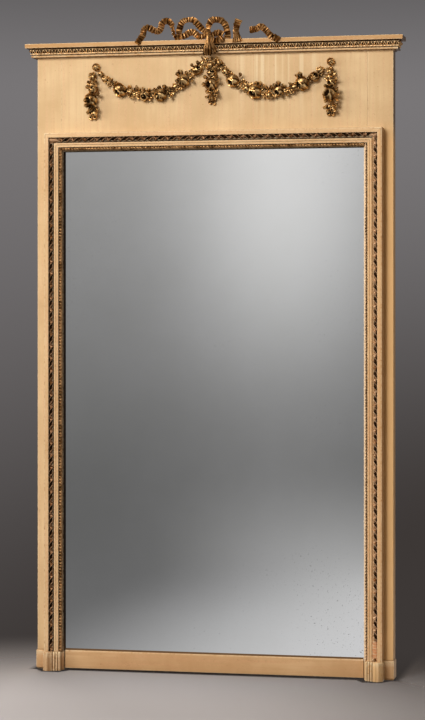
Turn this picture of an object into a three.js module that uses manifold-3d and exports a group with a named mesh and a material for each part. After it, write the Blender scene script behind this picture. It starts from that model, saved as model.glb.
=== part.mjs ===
/**
 * Trumeau mirror: a tall pier mirror in the Louis XVI manner, in cream-painted wood with gilt carving.
 *
 * Two full-height stiles, a frieze panel, a base rail and a cap board make the carcass. A mitred frame
 * moulding holds the mirror plate against the stiles, with a twisted ribbon in its channel and a row of
 * pearls at its sight edge. Flower garlands are applied to the frieze, a cornice with a leaf band runs
 * round the top, and a carved ribbon bow stands on it.
 *
 * Millimetres. X runs to the right, -Y to the front and Z up. The origin is on the floor, in the middle
 * of the object's width and depth.
 */
import * as THREE from 'three'
import { mergeVertices } from 'three/addons/utils/BufferGeometryUtils.js'
import Module from 'manifold-3d'

const wasm = await Module()
wasm.setup()

// ---------------------------------------------------------------- driving dimensions

const fit = 0.3                    // gap between pieces that rest on each other

// carcass
const carcassWidth = 1190
const carcassDepth = 48
const carcassHeight = 2060         // floor to the underside of the cap board
const capThickness = 12
const friezeThickness = 24
const boardRebateWidth = 10        // rebate in the stiles' back edge, for backboards and cleat
const boardRebateDepth = 20
const backboardThickness = 8
const backboardCount = 5
const battenWidth = 60
const battenSpacing = 340          // between the centres of the two battens
const cleatHeight = 70
const cleatDrop = 75               // top of the cleat, below the top of the stiles
const cleatFlat = 1.5              // blunt strip of its underside beside the boards, before the bevel
const wallCleatRoom = 90           // bare boards under the cleat, for the cleat on the wall

// frame moulding, in the order from its outer edge to the glass
const frameMargin = 32             // bare stile outside the frame
const friezeHeight = 284           // from the frame's outer top edge to the top of the stiles
const filletWidth = 15.5
const channelWidth = 18
const stepWidth = 14.5
const pearlSeatWidth = 10
const sightWidth = 3.5
const filletProjection = 36        // projections are measured from the face of the stiles
const channelProjection = 22
const stepProjection = 32
const pearlSeatProjection = 20
const sightProjection = 16
const arris = 1.5                  // small chamfer on exposed edges

// twisted ribbon and pearls in the frame
const twistWidth = 15
const twistThickness = 6
const twistPitch = 20              // length of half a turn
const twistLoss = 65               // length that has broken off above the right plinth block
const pearlPitch = 10.2
const pearlHeight = 8
const pearlStripThickness = 2
const cornerLeafLength = 34        // along the top of the frame
const cornerLeafDrop = 17          // down its side
const cornerLeafThickness = 11

// mirror plate
const glassLip = 10                // width of glass behind the frame's sight edge
const glassThickness = 4
const glassClearance = 1.5
const blockLength = 60             // glazing blocks
const blockWidth = 12
const blocksPerSide = 3
const blockSpacing = 640
const topBlockSpacing = 560

// base
const railTop = 70
const railLift = 5                 // dark gap under the base rail
const railProjection = 5
const railChamfer = 5
const plinthProjection = 50
const plinthHeight = 62
const plinthMargin = 3             // how far a plinth block passes the frame moulding's outer edge
const plinthChamfer = 4
const outerPlinthHeight = 63
const outerPlinthSide = 3

// cornice
const corniceHeight = 47
const corniceProjection = 34
const corniceFillet = 14           // height of the top fillet
const corniceCore = 12             // projection of the face that the leaf band sits on
const leafBandBottom = 17.8        // above the cornice's lower edge
const leafBandHeight = 10
const leafProjection = 27
const leafPitch = 21.3
const leafDepth = 4                // from the tips of the leaves to the ground between them

// garlands, applied to the frieze
const rosetteMargin = 203          // from the side of the carcass to a rosette's middle
const rosetteDrop = 32             // below the cornice's lower edge
const rosetteRadius = 13.5
const rosetteRelief = 20
const swagSag = 101                // from the line between a swag's ends to its lowest point
const swagDrop = 10                // a swag's outer end, below its rosette
const swagRise = 24                // a swag's inner end, above its rosette
const centreGap = 23               // from the knot's middle to a swag's inner end
const dropLength = 150
const centreDropLength = 142
const garlandRelief = 17
const ropeEnd = 6                  // half width of the rope of foliage at its ends
const ropeMiddle = 17
const flowerRadius = 20
const flowerRelief = 26
const leafLength = 30
const leafHalfWidth = 6.5
const berryRadius = 7
const petals = 6

// ribbon crest, standing on the cornice
const crestWidth = 19              // width of the ribbon
const crestThickness = 5
const crestProjection = 24         // of the ribbon's middle, where it stands on the cornice
const crimpPitch = 8               // length of one crimp of the ribbon
const crimpDepth = 1.5
const knotX = -8
const knotRadius = 13

// ---------------------------------------------------------------- derived places

const topZ = carcassHeight + capThickness
const frameTop = carcassHeight - friezeHeight
const cleatTop = carcassHeight - cleatDrop
const boardFace = (plinthProjection - carcassDepth) / 2
const back = boardFace + carcassDepth
const front = projection => boardFace - projection
const halfWidth = carcassWidth / 2
const frameX = halfWidth - frameMargin
const frameWidth = filletWidth + channelWidth + stepWidth + pearlSeatWidth + sightWidth
const stileX = frameX - frameWidth + glassLip
const rebateX = stileX + boardRebateWidth
const frameFoot = plinthHeight + fit
const friezeBottom = frameTop - frameWidth + glassLip
const railSeat = railTop - glassLip
const boardsFace = back - boardRebateDepth
const boardsBack = boardsFace + fit + backboardThickness
const corniceBottom = topZ - corniceHeight
const rosetteX = halfWidth - rosetteMargin
const rosetteZ = corniceBottom - rosetteDrop
const mitreGap = fit * 0.75
const drapedProjection = corniceProjection + fit + crestThickness / 2 + crimpDepth

const cream = { color: 0xe8c795, roughness: 0.55, metalness: 0 }
const gilt = { color: 0x9a7238, roughness: 0.4, metalness: 0.8 }
const silvered = { color: 0xaeb0ae, roughness: 0.08, metalness: 1 }
const softwood = { color: 0x8f6b45, roughness: 0.8, metalness: 0 }

const mirrorFrame = new THREE.Group()

/** Adds a piece to the object under its own name. */
function piece(name, geometry, finish) {
  const mesh = new THREE.Mesh(geometry, new THREE.MeshStandardMaterial(finish))
  mesh.name = name
  mirrorFrame.add(mesh)
  return mesh
}

// ---------------------------------------------------------------- ways of making a solid

/** Turns a closed mesh's faces outwards, whichever way it was made. */
function outward(geometry) {
  const place = geometry.attributes.position
  const index = geometry.index.array
  const [a, b, c] = [new THREE.Vector3(), new THREE.Vector3(), new THREE.Vector3()]
  let volume = 0
  for (let i = 0; i < index.length; i += 3) {
    a.fromBufferAttribute(place, index[i])
    b.fromBufferAttribute(place, index[i + 1])
    c.fromBufferAttribute(place, index[i + 2])
    volume += a.dot(b.cross(c))
  }
  if (volume < 0) {
    for (let i = 0; i < index.length; i += 3) {
      [index[i], index[i + 1]] = [index[i + 1], index[i]]
    }
  }
  return geometry
}

/** A mesh from a list of [x, y, z] points and a list of point numbers, three to a face. */
function meshOf(points, faces) {
  const geometry = new THREE.BufferGeometry()
  geometry.setAttribute('position', new THREE.Float32BufferAttribute(points.flat(), 3))
  geometry.setIndex(faces)
  return outward(geometry)
}

const distance = (a, b) => Math.hypot(a[0] - b[0], a[1] - b[1], a[2] - b[2])

/**
 * A solid that runs through one outline at each station; a station places an outline point in space.
 * Each four-sided face is split along its shorter diagonal, which keeps a twisted solid's faces apart.
 */
function through(outline, stations) {
  const n = outline.length
  const flat = outline.map(([u, v]) => new THREE.Vector2(u, v))
  const turn = Math.sign(THREE.ShapeUtils.area(flat))
  const points = stations.flatMap(station => outline.map(([u, v], k) => station(u, v, k)))
  const faces = []
  for (let ring = 0; ring < stations.length - 1; ring++) {
    for (let i = 0; i < n; i++) {
      const a = ring * n + i
      const b = ring * n + (i + 1) % n
      if (distance(points[a], points[b + n]) <= distance(points[b], points[a + n])) {
        faces.push(a, b, b + n, a, b + n, a + n)
      } else {
        faces.push(a, b, a + n, b, b + n, a + n)
      }
    }
  }
  const last = (stations.length - 1) * n
  for (const [a, b, c] of THREE.ShapeUtils.triangulateShape(flat, [])) {
    const sameTurn = Math.sign(THREE.ShapeUtils.area([flat[a], flat[b], flat[c]])) === turn
    const [p, q] = sameTurn ? [b, c] : [c, b]
    faces.push(q, p, a, last + a, last + p, last + q)
  }
  return meshOf(points, faces)
}

/** A board between two corners. */
function board(x0, x1, y0, y1, z0, z1) {
  const geometry = new THREE.BoxGeometry(x1 - x0, y1 - y0, z1 - z0)
  return geometry.translate((x0 + x1) / 2, (y0 + y1) / 2, (z0 + z1) / 2)
}

/** A closed mesh as a solid that can be joined and cut. */
function solidOf(geometry) {
  const bare = new THREE.BufferGeometry()
  bare.setAttribute('position', geometry.attributes.position)
  bare.setIndex(geometry.index)
  const merged = mergeVertices(bare, 1e-4)
  return new wasm.Manifold(new wasm.Mesh({
    numProp: 3,
    vertProperties: new Float32Array(merged.attributes.position.array),
    triVerts: new Uint32Array(merged.index.array)
  }))
}

/** A joined or cut solid as a mesh. */
function geometryOf(solid) {
  const mesh = solid.getMesh()
  const geometry = new THREE.BufferGeometry()
  geometry.setAttribute('position', new THREE.BufferAttribute(new Float32Array(mesh.vertProperties), 3))
  geometry.setIndex(new THREE.BufferAttribute(new Uint32Array(mesh.triVerts), 1))
  return geometry
}

const joined = geometries => geometries.map(solidOf).reduce((all, next) => all.add(next))

// ---------------------------------------------------------------- carcass

/** A stile: a full-height post, rebated at the back for the backboards. */
function stile(side) {
  const outline = [
    [stileX, boardFace], [halfWidth, boardFace], [halfWidth, back], [rebateX, back],
    [rebateX, boardsFace], [stileX, boardsFace]
  ]
  return through(outline, [0, carcassHeight].map(z => (x, y) => [side * x, y, z]))
}

piece('left_stile', stile(-1), cream)
piece('right_stile', stile(1), cream)

piece('frieze_panel', board(-stileX + fit, stileX - fit, boardFace, boardFace + friezeThickness,
  friezeBottom, carcassHeight), cream)

piece('cap_board', board(-halfWidth, halfWidth, boardFace, back, carcassHeight + fit, topZ), cream)

/** The base rail: a seat for the glass between the stiles, with a chamfered lip between the plinth blocks. */
function baseRail() {
  const lipX = frameX - frameWidth - plinthMargin - fit
  const seatBack = boardsFace - fit
  const section = [
    [seatBack, railLift], [front(railProjection), railLift],
    [front(railProjection), railTop - railChamfer], [boardFace, railTop],
    [boardFace, railSeat], [seatBack, railSeat]
  ]
  const lipped = through(section, [-lipX, lipX].map(x => (y, z) => [x, y, z]))
  const seat = board(-stileX + fit, stileX - fit, boardFace, seatBack, railLift, railSeat)
  return geometryOf(joined([lipped, seat]))
}

piece('base_rail', baseRail(), cream)

// ---------------------------------------------------------------- plinth blocks

/** The plan of a forward plinth block: the frame moulding's steps, a little larger all round. */
function plinthPlan() {
  const inner = frameWidth + plinthMargin
  const grow = plinthProjection - filletProjection
  const channelStart = filletWidth
  const channelEnd = filletWidth + channelWidth
  const stepEnd = channelEnd + stepWidth
  return [
    [-plinthMargin, fit], [-plinthMargin, plinthProjection - arris],
    [arris - plinthMargin, plinthProjection], [channelStart, plinthProjection],
    [channelStart + 2, plinthProjection - 6], [channelStart + 7, channelProjection + grow - 3],
    [channelEnd - 5, channelProjection + grow - 1], [channelEnd, stepProjection + grow - 2],
    [stepEnd - 7, stepProjection + grow - 2], [stepEnd - 6, stepProjection + grow - 5],
    [stepEnd - 5, stepProjection + grow - 3], [stepEnd + 2, stepProjection + grow - 3],
    [stepEnd + 4, pearlSeatProjection], [inner, sightProjection - 4], [inner, fit]
  ]
}

/** A forward plinth block, standing on the floor under the frame's side, chamfered round its top. */
function plinthBlock(side) {
  const plan = plinthPlan()
  const middle = frameWidth / 2
  const shrink = plinthChamfer / middle
  const place = (inset, z) => (u, v) => {
    const across = u + (middle - u) * inset
    const out = v > fit ? v - plinthChamfer * inset / shrink : v
    return [side * (frameX - across), front(out), z]
  }
  return through(plan, [place(0, 0), place(0, plinthHeight - plinthChamfer), place(shrink, plinthHeight)])
}

piece('left_plinth_block', plinthBlock(-1), cream)
piece('right_plinth_block', plinthBlock(1), cream)

/** An outer plinth block: a thin casing round the stile's foot, chamfered along its top. */
function outerPlinth(side) {
  const inner = frameX + plinthMargin + fit
  const outer = halfWidth + outerPlinthSide
  const bodyTop = outerPlinthHeight - outerPlinthSide
  const plan = [
    [inner, front(fit)], [inner, front(railProjection)], [outer, front(railProjection)], [outer, back],
    [halfWidth + fit, back], [halfWidth + fit, front(fit)]
  ]
  const topPlan = [
    plan[0], [inner, front(fit * 3)], [halfWidth + fit * 3, front(fit * 3)],
    [halfWidth + fit * 3, back], plan[4], plan[5]
  ]
  const topPlace = (x, y, k) => [side * topPlan[k][0], topPlan[k][1], outerPlinthHeight]
  return through(plan, [
    (x, y) => [side * x, y, railLift], (x, y) => [side * x, y, bodyTop], topPlace
  ])
}

piece('left_outer_plinth', outerPlinth(-1), cream)
piece('right_outer_plinth', outerPlinth(1), cream)

// ---------------------------------------------------------------- frame moulding

/** The frame's section: distance in from its outer edge, and projection from the stiles' face. */
function frameSection() {
  const channelEnd = filletWidth + channelWidth
  const stepEnd = channelEnd + stepWidth
  const pearlEnd = stepEnd + pearlSeatWidth
  const stepMiddle = channelEnd + stepWidth / 2
  return [
    [0, fit], [0, filletProjection - arris], [arris, filletProjection],
    [filletWidth, filletProjection], [filletWidth + 1, channelProjection],
    [channelEnd - 1, channelProjection], [channelEnd, stepProjection],
    [stepMiddle - 1, stepProjection], [stepMiddle, stepProjection - 2],
    [stepMiddle + 1, stepProjection - 1], [stepEnd, stepProjection - 1],
    [stepEnd, pearlSeatProjection], [pearlEnd, pearlSeatProjection],
    [pearlEnd, sightProjection], [frameWidth, sightProjection - arris], [frameWidth, fit]
  ]
}

/** A side of the frame, from its plinth block up to the mitre. */
function frameSide(side) {
  const foot = (u, v) => [side * (frameX - u), front(v), frameFoot]
  const mitre = (u, v) => [side * (frameX - u), front(v), frameTop - u - mitreGap]
  return through(frameSection(), [foot, mitre])
}

/** The frame's top, mitred at both ends. */
function frameHead() {
  const end = side => (u, v) => [side * (frameX - u - mitreGap), front(v), frameTop - u]
  return through(frameSection(), [end(-1), end(1)])
}

piece('frame_left', frameSide(-1), cream)
piece('frame_right', frameSide(1), cream)
piece('frame_head', frameHead(), cream)

// ---------------------------------------------------------------- twisted ribbon, pearls, corner leaves

/** Places a point of a moulding on the frame: across its width, out from the wall, and along it. */
const onSide = (side, start) => (u, v, s) => [side * (frameX - u), front(v), start + s]
const onHead = start => (u, v, s) => [start + s, front(v), frameTop - u]

/** A ribbon twisted round its own length, lying in the frame's channel. */
function twist(length, place) {
  const steps = Math.max(2, Math.round(2 * length / twistPitch))
  const reach = [twistWidth / 2, twistThickness / 2]
  const outline = [[reach[0], 0], [0, reach[1]], [-reach[0], 0], [0, -reach[1]]]
  const middleU = filletWidth + channelWidth / 2
  const middleV = channelProjection + fit + reach[0]
  const stations = []
  for (let i = 0; i <= steps; i++) {
    const turn = i * Math.PI / 2
    const [cos, sin] = [Math.round(Math.cos(turn)), Math.round(Math.sin(turn))]
    stations.push((u, v) => place(
      middleU + u * cos - v * sin, middleV + u * sin + v * cos, length * i / steps))
  }
  return through(outline, stations)
}

const leafFoot = frameTop - filletWidth - cornerLeafDrop
const twistFoot = frameFoot + fit
const twistEndX = frameX - filletWidth - cornerLeafLength - fit
const rightTwistFoot = twistFoot + twistLoss

piece('ribbon_twist_left', twist(leafFoot - fit - twistFoot, onSide(-1, twistFoot)), gilt)
piece('ribbon_twist_right', twist(leafFoot - fit - rightTwistFoot, onSide(1, rightTwistFoot)), gilt)
piece('ribbon_twist_head', twist(2 * twistEndX, onHead(-twistEndX)), gilt)

/** A strip of pearls: one low pyramid for each pearl, on a flat slip. */
function pearls(length, place) {
  const count = Math.floor(length / pearlPitch)
  const pitch = length / count
  const perRun = 8
  const middle = filletWidth + channelWidth + stepWidth + pearlSeatWidth / 2
  const reach = pearlSeatWidth / 2 - fit
  const floor = pearlSeatProjection + fit
  const slip = floor + pearlStripThickness
  const points = []
  const faces = []
  const add = (u, v, s) => points.push(place(u, v, s)) - 1
  const edge = []
  for (let i = 0; i <= count; i++) {
    edge.push([add(middle - reach, slip, i * pitch), add(middle + reach, slip, i * pitch)])
  }
  for (let i = 0; i < count; i++) {
    const tip = add(middle, floor + pearlHeight, (i + 0.5) * pitch)
    const ring = [edge[i][0], edge[i][1], edge[i + 1][1], edge[i + 1][0]]
    ring.forEach((corner, k) => faces.push(corner, ring[(k + 1) % 4], tip))
  }
  let under = [add(middle - reach, floor, 0), add(middle + reach, floor, 0)]
  faces.push(under[0], under[1], edge[0][1], under[0], edge[0][1], edge[0][0])
  for (let from = 0; from < count; from += perRun) {
    const to = Math.min(count, from + perRun)
    const next = [add(middle - reach, floor, to * pitch), add(middle + reach, floor, to * pitch)]
    for (let i = from; i < to; i++) {
      faces.push(under[0], edge[i][0], edge[i + 1][0], under[1], edge[i + 1][1], edge[i][1])
    }
    faces.push(under[0], edge[to][0], next[0], under[1], next[1], edge[to][1])
    faces.push(under[0], next[0], next[1], under[0], next[1], under[1])
    under = next
  }
  const end = edge[count]
  faces.push(under[1], under[0], end[0], under[1], end[0], end[1])
  return meshOf(points, faces)
}

const pearlTop = frameTop - filletWidth - channelWidth - stepWidth
const pearlEndX = frameX - filletWidth - channelWidth - stepWidth - pearlSeatWidth

piece('pearls_left', pearls(pearlTop - fit - twistFoot, onSide(-1, twistFoot)), gilt)
piece('pearls_right', pearls(pearlTop - fit - twistFoot, onSide(1, twistFoot)), gilt)
piece('pearls_head', pearls(2 * pearlEndX, onHead(-pearlEndX)), gilt)

/** A corner leaf: a strap that lies in the channel's corner, pointed along the head and down the side. */
function cornerLeaf(side) {
  const width = channelWidth - 2 - 2 * fit
  const start = 1 + fit
  const outline = [
    [start, start], [cornerLeafLength * 0.7, start], [cornerLeafLength, start + width * 0.5],
    [cornerLeafLength * 0.7, start + width], [start + width, start + width],
    [start + width * 0.5, cornerLeafDrop], [start, cornerLeafDrop * 0.8]
  ]
  const middle = [start + width, start + width * 0.6]
  const seat = channelProjection + fit
  const place = (inset, v) => (across, down) => [
    side * (frameX - filletWidth - across - (middle[0] - across) * inset), front(v),
    frameTop - filletWidth - down - (middle[1] - down) * inset
  ]
  return through(outline, [
    place(0, seat), place(0, seat + cornerLeafThickness * 0.5), place(0.35, seat + cornerLeafThickness)
  ])
}

piece('left_corner_leaf', cornerLeaf(-1), gilt)
piece('right_corner_leaf', cornerLeaf(1), gilt)

// ---------------------------------------------------------------- mirror plate, blocks and boards

const glassTop = friezeBottom - glassClearance
const glassX = stileX - glassClearance
const glassFace = boardFace + fit
const glassBack = glassFace + glassThickness

piece('mirror_plate', board(-glassX, glassX, glassFace, glassBack, railSeat + fit, glassTop), silvered)

/** Glazing blocks: small blocks of wood glued behind the glass, to the stiles and under the frieze. */
function glazingBlocks() {
  const y0 = glassBack + fit
  const y1 = boardFace + friezeThickness
  const middleZ = (railSeat + glassTop) / 2
  for (const [word, side] of [['left', -1], ['right', 1]]) {
    for (let i = 0; i < blocksPerSide; i++) {
      const z = middleZ + (i - (blocksPerSide - 1) / 2) * blockSpacing
      const [near, far] = [side * (stileX - fit), side * (stileX - fit - blockWidth)]
      const block = board(Math.min(near, far), Math.max(near, far), y0, y1,
        z - blockLength / 2, z + blockLength / 2)
      piece(`${word}_glazing_block_${i + 1}`, block, softwood)
    }
    const x = side * topBlockSpacing / 2
    const block = board(x - blockLength / 2, x + blockLength / 2, y0, y1,
      friezeBottom - fit - blockWidth, friezeBottom - fit)
    piece(`${word}_top_glazing_block`, block, softwood)
  }
}

glazingBlocks()

/** Backboards lie across the back, edge to edge, in the stiles' rebates. */
function backboards() {
  const bottom = railLift
  const height = (carcassHeight - bottom) / backboardCount
  for (let i = 0; i < backboardCount; i++) {
    const z = bottom + i * height
    piece(`backboard_${i + 1}`, board(-rebateX + fit, rebateX - fit, boardsFace + fit, boardsBack,
      z, z + height - fit), softwood)
  }
}

backboards()

/** Battens tie the backboards together. */
function battens() {
  const bottom = railTop + battenWidth / 2
  const top = cleatTop - cleatHeight - wallCleatRoom
  for (const [word, side] of [['left', -1], ['right', 1]]) {
    const x = side * battenSpacing / 2
    piece(`${word}_batten`, board(x - battenWidth / 2, x + battenWidth / 2, boardsBack + fit, back,
      bottom, top), softwood)
  }
}

battens()

/** The hanging cleat: its lower edge is bevelled, to hook over a matching cleat on the wall. */
function hangingCleat() {
  const seat = boardsBack + fit
  const foot = cleatTop - cleatHeight
  const bevelTop = foot + back - seat - cleatFlat
  const outline = [
    [seat, bevelTop], [seat + cleatFlat, bevelTop], [back, foot], [back, cleatTop], [seat, cleatTop]
  ]
  const reach = rebateX - fit
  return through(outline, [-reach, reach].map(x => (y, z) => [x, y, z]))
}

piece('hanging_cleat', hangingCleat(), softwood)

// ---------------------------------------------------------------- cornice and leaf band

/** The cornice's section: projection from the carcass, and height above the cornice's lower edge. */
function corniceSection() {
  const filletFoot = corniceHeight - corniceFillet
  return [
    [fit, 0], [corniceCore / 2, 0], [corniceCore / 2, 3], [corniceCore + 3, 3], [corniceCore + 5, 4.5],
    [corniceCore + 5, 8], [corniceCore + 3, 9.5], [corniceCore + 1, 9.5], [corniceCore + 1, 11.5],
    [corniceCore + 5, 12], [corniceCore + 7, 14.5], [corniceCore + 5, 17],
    [corniceCore, leafBandBottom - fit], [corniceCore, leafBandBottom + leafBandHeight + fit],
    [corniceCore + 8, filletFoot], [corniceProjection, filletFoot],
    [corniceProjection, corniceHeight - arris], [corniceProjection - arris, corniceHeight],
    [fit, corniceHeight]
  ]
}

/** The leaf band's section; the points past the first are drawn back between two leaves. */
function leafSection() {
  const foot = leafBandBottom
  const top = leafBandBottom + leafBandHeight
  return [
    [corniceCore + fit, foot], [corniceCore + 6, foot], [leafProjection, foot + leafBandHeight * 0.6],
    [leafProjection + 1, top], [corniceCore + fit, top]
  ]
}

/** Places a section across the front of the carcass, mitred at both corners. */
const acrossFront = side => (w, z) => [side * (halfWidth + w - mitreGap), front(w), corniceBottom + z]

/** Places a section along a side of the carcass, from the mitre to the back. */
const atMitre = side => (w, z) => [side * (halfWidth + w), front(w) + mitreGap, corniceBottom + z]
const atBack = side => (w, z) => [side * (halfWidth + w), back, corniceBottom + z]

piece('cornice_front', through(corniceSection(), [acrossFront(-1), acrossFront(1)]), cream)
piece('cornice_left_return', through(corniceSection(), [atMitre(-1), atBack(-1)]), cream)
piece('cornice_right_return', through(corniceSection(), [atMitre(1), atBack(1)]), cream)

/** A length of leaf band between two placings, with a leaf at every pitch. */
function leafBand(start, end, length) {
  const steps = 2 * Math.round(length / leafPitch)
  const stations = []
  for (let i = 0; i <= steps; i++) {
    const share = i / steps
    stations.push((w, z, k) => {
      const ground = i % 2 === 0 && (k === 1 || k === 2) ? leafDepth : 0
      const [a, b] = [start(w - ground, z), end(w - ground, z)]
      return a.map((value, axis) => value + (b[axis] - value) * share)
    })
  }
  return through(leafSection(), stations)
}

piece('leaf_band_front', leafBand(acrossFront(-1), acrossFront(1), carcassWidth + 2 * leafProjection), gilt)
piece('leaf_band_left', leafBand(atMitre(-1), atBack(-1), carcassDepth + leafProjection), gilt)
piece('leaf_band_right', leafBand(atMitre(1), atBack(1), carcassDepth + leafProjection), gilt)

// ---------------------------------------------------------------- garlands

/** The rope of foliage in a garland: thin at its ends, flat at the back, along a curve on the frieze. */
function foliage(points, endGirth, middleGirth) {
  const curve = new THREE.CatmullRomCurve3(points.map(([x, z]) => new THREE.Vector3(x, 0, z)))
  const steps = 2 * (points.length - 1)
  const outline = [[-1, 0], [-0.75, 0.7], [0, 1], [0.75, 0.7], [1, 0]]
  const stations = []
  for (let i = 0; i <= steps; i++) {
    const at = curve.getPointAt(i / steps)
    const along = curve.getTangentAt(i / steps)
    const swell = Math.sin(Math.PI * i / steps)
    const girth = endGirth + (middleGirth - endGirth) * swell * (i % 2 ? 1 : 0.85)
    const relief = garlandRelief * (0.5 + 0.5 * swell)
    stations.push((u, v) => [at.x - along.z * u * girth, front(v * relief), at.z + along.x * u * girth])
  }
  return through(outline, stations)
}

/** A carved flower: a domed head with a hollow eye, its petals marked by alternate long and short ribs. */
function flower([x, z], size) {
  const radius = flowerRadius * size
  const relief = flowerRelief * Math.min(1, size * 1.1)
  const profile = [
    [0, 0], [radius * 0.85, 0], [radius, relief * 0.4], [radius * 0.65, relief],
    [radius * 0.3, relief * 0.75], [0, relief * 0.85]
  ]
  const head = new THREE.LatheGeometry(profile.map(([r, h]) => new THREE.Vector2(r, h)), petals)
  return outward(head.rotateX(Math.PI).translate(x, boardFace, z))
}

/** A leaf: a flat four-sided point that starts inside the foliage and turns away from it. */
function leaf([x, z], angle, size) {
  const length = leafLength * size
  const blade = new THREE.ConeGeometry(leafHalfWidth, length, 4)
  blade.scale(1, 1, 0.7).translate(0, length / 2, 0)
  blade.rotateX(Math.PI / 2).rotateY(THREE.MathUtils.degToRad(90 - angle))
  return blade.translate(x, front(garlandRelief * 0.5), z)
}

/** A berry at the tip of a drop. */
function berry([x, z], side) {
  const centre = [x + side * berryRadius, front(berryRadius), z]
  return new THREE.IcosahedronGeometry(berryRadius).translate(...centre)
}

/**
 * A garland along a line that gives a place for each share of its length: foliage, flowers, leaves and
 * berries, joined and cut flat where they meet the frieze. A flower is its share and size, a leaf its
 * share, angle from +X and size, and a berry the side of the tip that it hangs on.
 */
function garland({ line, girth = 1, flowers, leaves, berries = [] }) {
  const steps = 8
  const path = Array.from({ length: steps + 1 }, (_, i) => line(i / steps))
  const solid = joined([
    foliage(path, ropeEnd, ropeMiddle * girth),
    ...flowers.map(([share, size]) => flower(line(share), size)),
    ...leaves.map(([share, angle, size]) => leaf(line(share), angle, size)),
    ...berries.map(side => berry(line(1), side))
  ])
  const reach = 2 * flowerRelief
  const room = solidOf(board(-halfWidth, halfWidth, front(reach), front(fit), 0, corniceBottom - fit))
  return geometryOf(solid.intersect(room))
}

/** The line that a swag hangs in, from its rosette to the knot. */
const hanging = side => share => {
  const outer = [side * (rosetteX - rosetteRadius), rosetteZ - swagDrop]
  const inner = [knotX + side * centreGap, rosetteZ + swagRise]
  const [x, z] = outer.map((value, axis) => THREE.MathUtils.lerp(value, inner[axis], share))
  return [x, z - 4 * swagSag * share * (1 - share)]
}

/** The line that a drop falls in. */
const falling = (x, top, length) => share => [x, top - length * share]

piece('left_swag', garland({
  line: hanging(-1),
  flowers: [[0.2, 1.05], [0.42, 0.9], [0.58, 0.95], [0.8, 1], [0.9, 0.65]],
  leaves: [[0.13, 60, 0.9], [0.31, 110, 0.95], [0.31, 250, 0.75], [0.41, 70, 1.1], [0.52, 280, 0.9],
    [0.59, 110, 1.25], [0.66, 290, 0.9], [0.71, 130, 1], [0.8, 120, 1.2], [0.86, 320, 0.75]]
}), gilt)

piece('right_swag', garland({
  line: hanging(1),
  flowers: [[0.1, 0.7], [0.18, 1], [0.4, 0.95], [0.6, 1.1], [0.79, 0.95]],
  leaves: [[0.2, 115, 1.1], [0.28, 100, 0.95], [0.33, 290, 0.75], [0.4, 85, 1.2], [0.5, 80, 0.8],
    [0.5, 265, 0.75], [0.56, 75, 1.2], [0.69, 250, 0.75], [0.7, 60, 0.95], [0.86, 40, 0.9]]
}), gilt)

piece('left_drop', garland({
  line: falling(-rosetteX - 11, rosetteZ - 18, dropLength),
  girth: 0.88,
  flowers: [[0.58, 0.95], [0.38, 0.65]],
  leaves: [[0.16, 40, 0.7], [0.16, 140, 0.7], [0.47, 20, 1], [0.62, 200, 1.1], [0.75, 320, 0.95],
    [0.75, 230, 1.1]],
  berries: [-1, 1]
}), gilt)

piece('centre_drop', garland({
  line: falling(0, rosetteZ + 19, centreDropLength),
  girth: 0.76,
  flowers: [[0.6, 0.9], [0.38, 0.65]],
  leaves: [[0.58, 20, 1], [0.5, 160, 1], [0.78, 330, 0.95], [0.75, 215, 0.95]],
  berries: [-1, 1]
}), gilt)

piece('right_drop', garland({
  line: falling(rosetteX, rosetteZ - 18, dropLength),
  girth: 0.88,
  flowers: [[0.62, 1], [0.33, 0.65]],
  leaves: [[0.16, 40, 0.7], [0.13, 145, 0.6], [0.6, 25, 1.15], [0.68, 340, 1.05], [0.8, 225, 1],
    [0.8, 320, 0.95]],
  berries: [-1, 1]
}), gilt)

/** The rosette that a swag and a drop hang from: a domed button on a round foot. */
function rosette(side) {
  const profile = [
    [0, 0], [rosetteRadius, 0], [rosetteRadius, rosetteRelief * 0.3],
    [rosetteRadius * 0.85, rosetteRelief * 0.7], [rosetteRadius * 0.45, rosetteRelief * 0.96],
    [0, rosetteRelief]
  ]
  const button = new THREE.LatheGeometry(profile.map(([r, h]) => new THREE.Vector2(r, h)), 12)
  return outward(button.rotateX(Math.PI).translate(side * rosetteX, front(fit), rosetteZ))
}

piece('left_rosette', rosette(-1), gilt)
piece('right_rosette', rosette(1), gilt)

// ---------------------------------------------------------------- ribbon crest

/** A length of crimped ribbon through places of [x, height above the cornice, projection, width]. */
function crimped(places) {
  const curve = new THREE.CatmullRomCurve3(
    places.map(([x, z, out]) => new THREE.Vector3(x, front(out), topZ + z)), false, 'centripetal')
  const widthAt = share => {
    const at = curve.getUtoTmapping(share) * (places.length - 1)
    const from = Math.min(places.length - 2, Math.floor(at))
    return THREE.MathUtils.lerp(places[from][3], places[from + 1][3], at - from)
  }
  const steps = 2 * Math.max(2, Math.round(curve.getLength() / crimpPitch))
  const outline = [[-0.5, -0.5], [0.5, -0.5], [0.5, 0.5], [-0.5, 0.5]]
  const stations = []
  for (let i = 0; i <= steps; i++) {
    const share = i / steps
    const at = curve.getPointAt(share)
    const along = curve.getTangentAt(share)
    const size = Math.hypot(along.x, along.z)
    const [across, up] = [-along.z / size, along.x / size]
    const width = widthAt(share)
    const crimp = i % 2 ? crimpDepth : -crimpDepth
    stations.push((u, v) => [
      at.x + across * u * width, at.y + v * crestThickness + crimp, at.z + up * u * width])
  }
  return through(outline, stations)
}

const flatRibbon = crestWidth
const turnedRibbon = crestWidth * 0.45   // where the ribbon is seen on edge
const stand = crestProjection
const rest = crestWidth / 2 + fit        // height of the ribbon's middle when its edge is on the cornice
const knotZ = rest + 6

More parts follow.
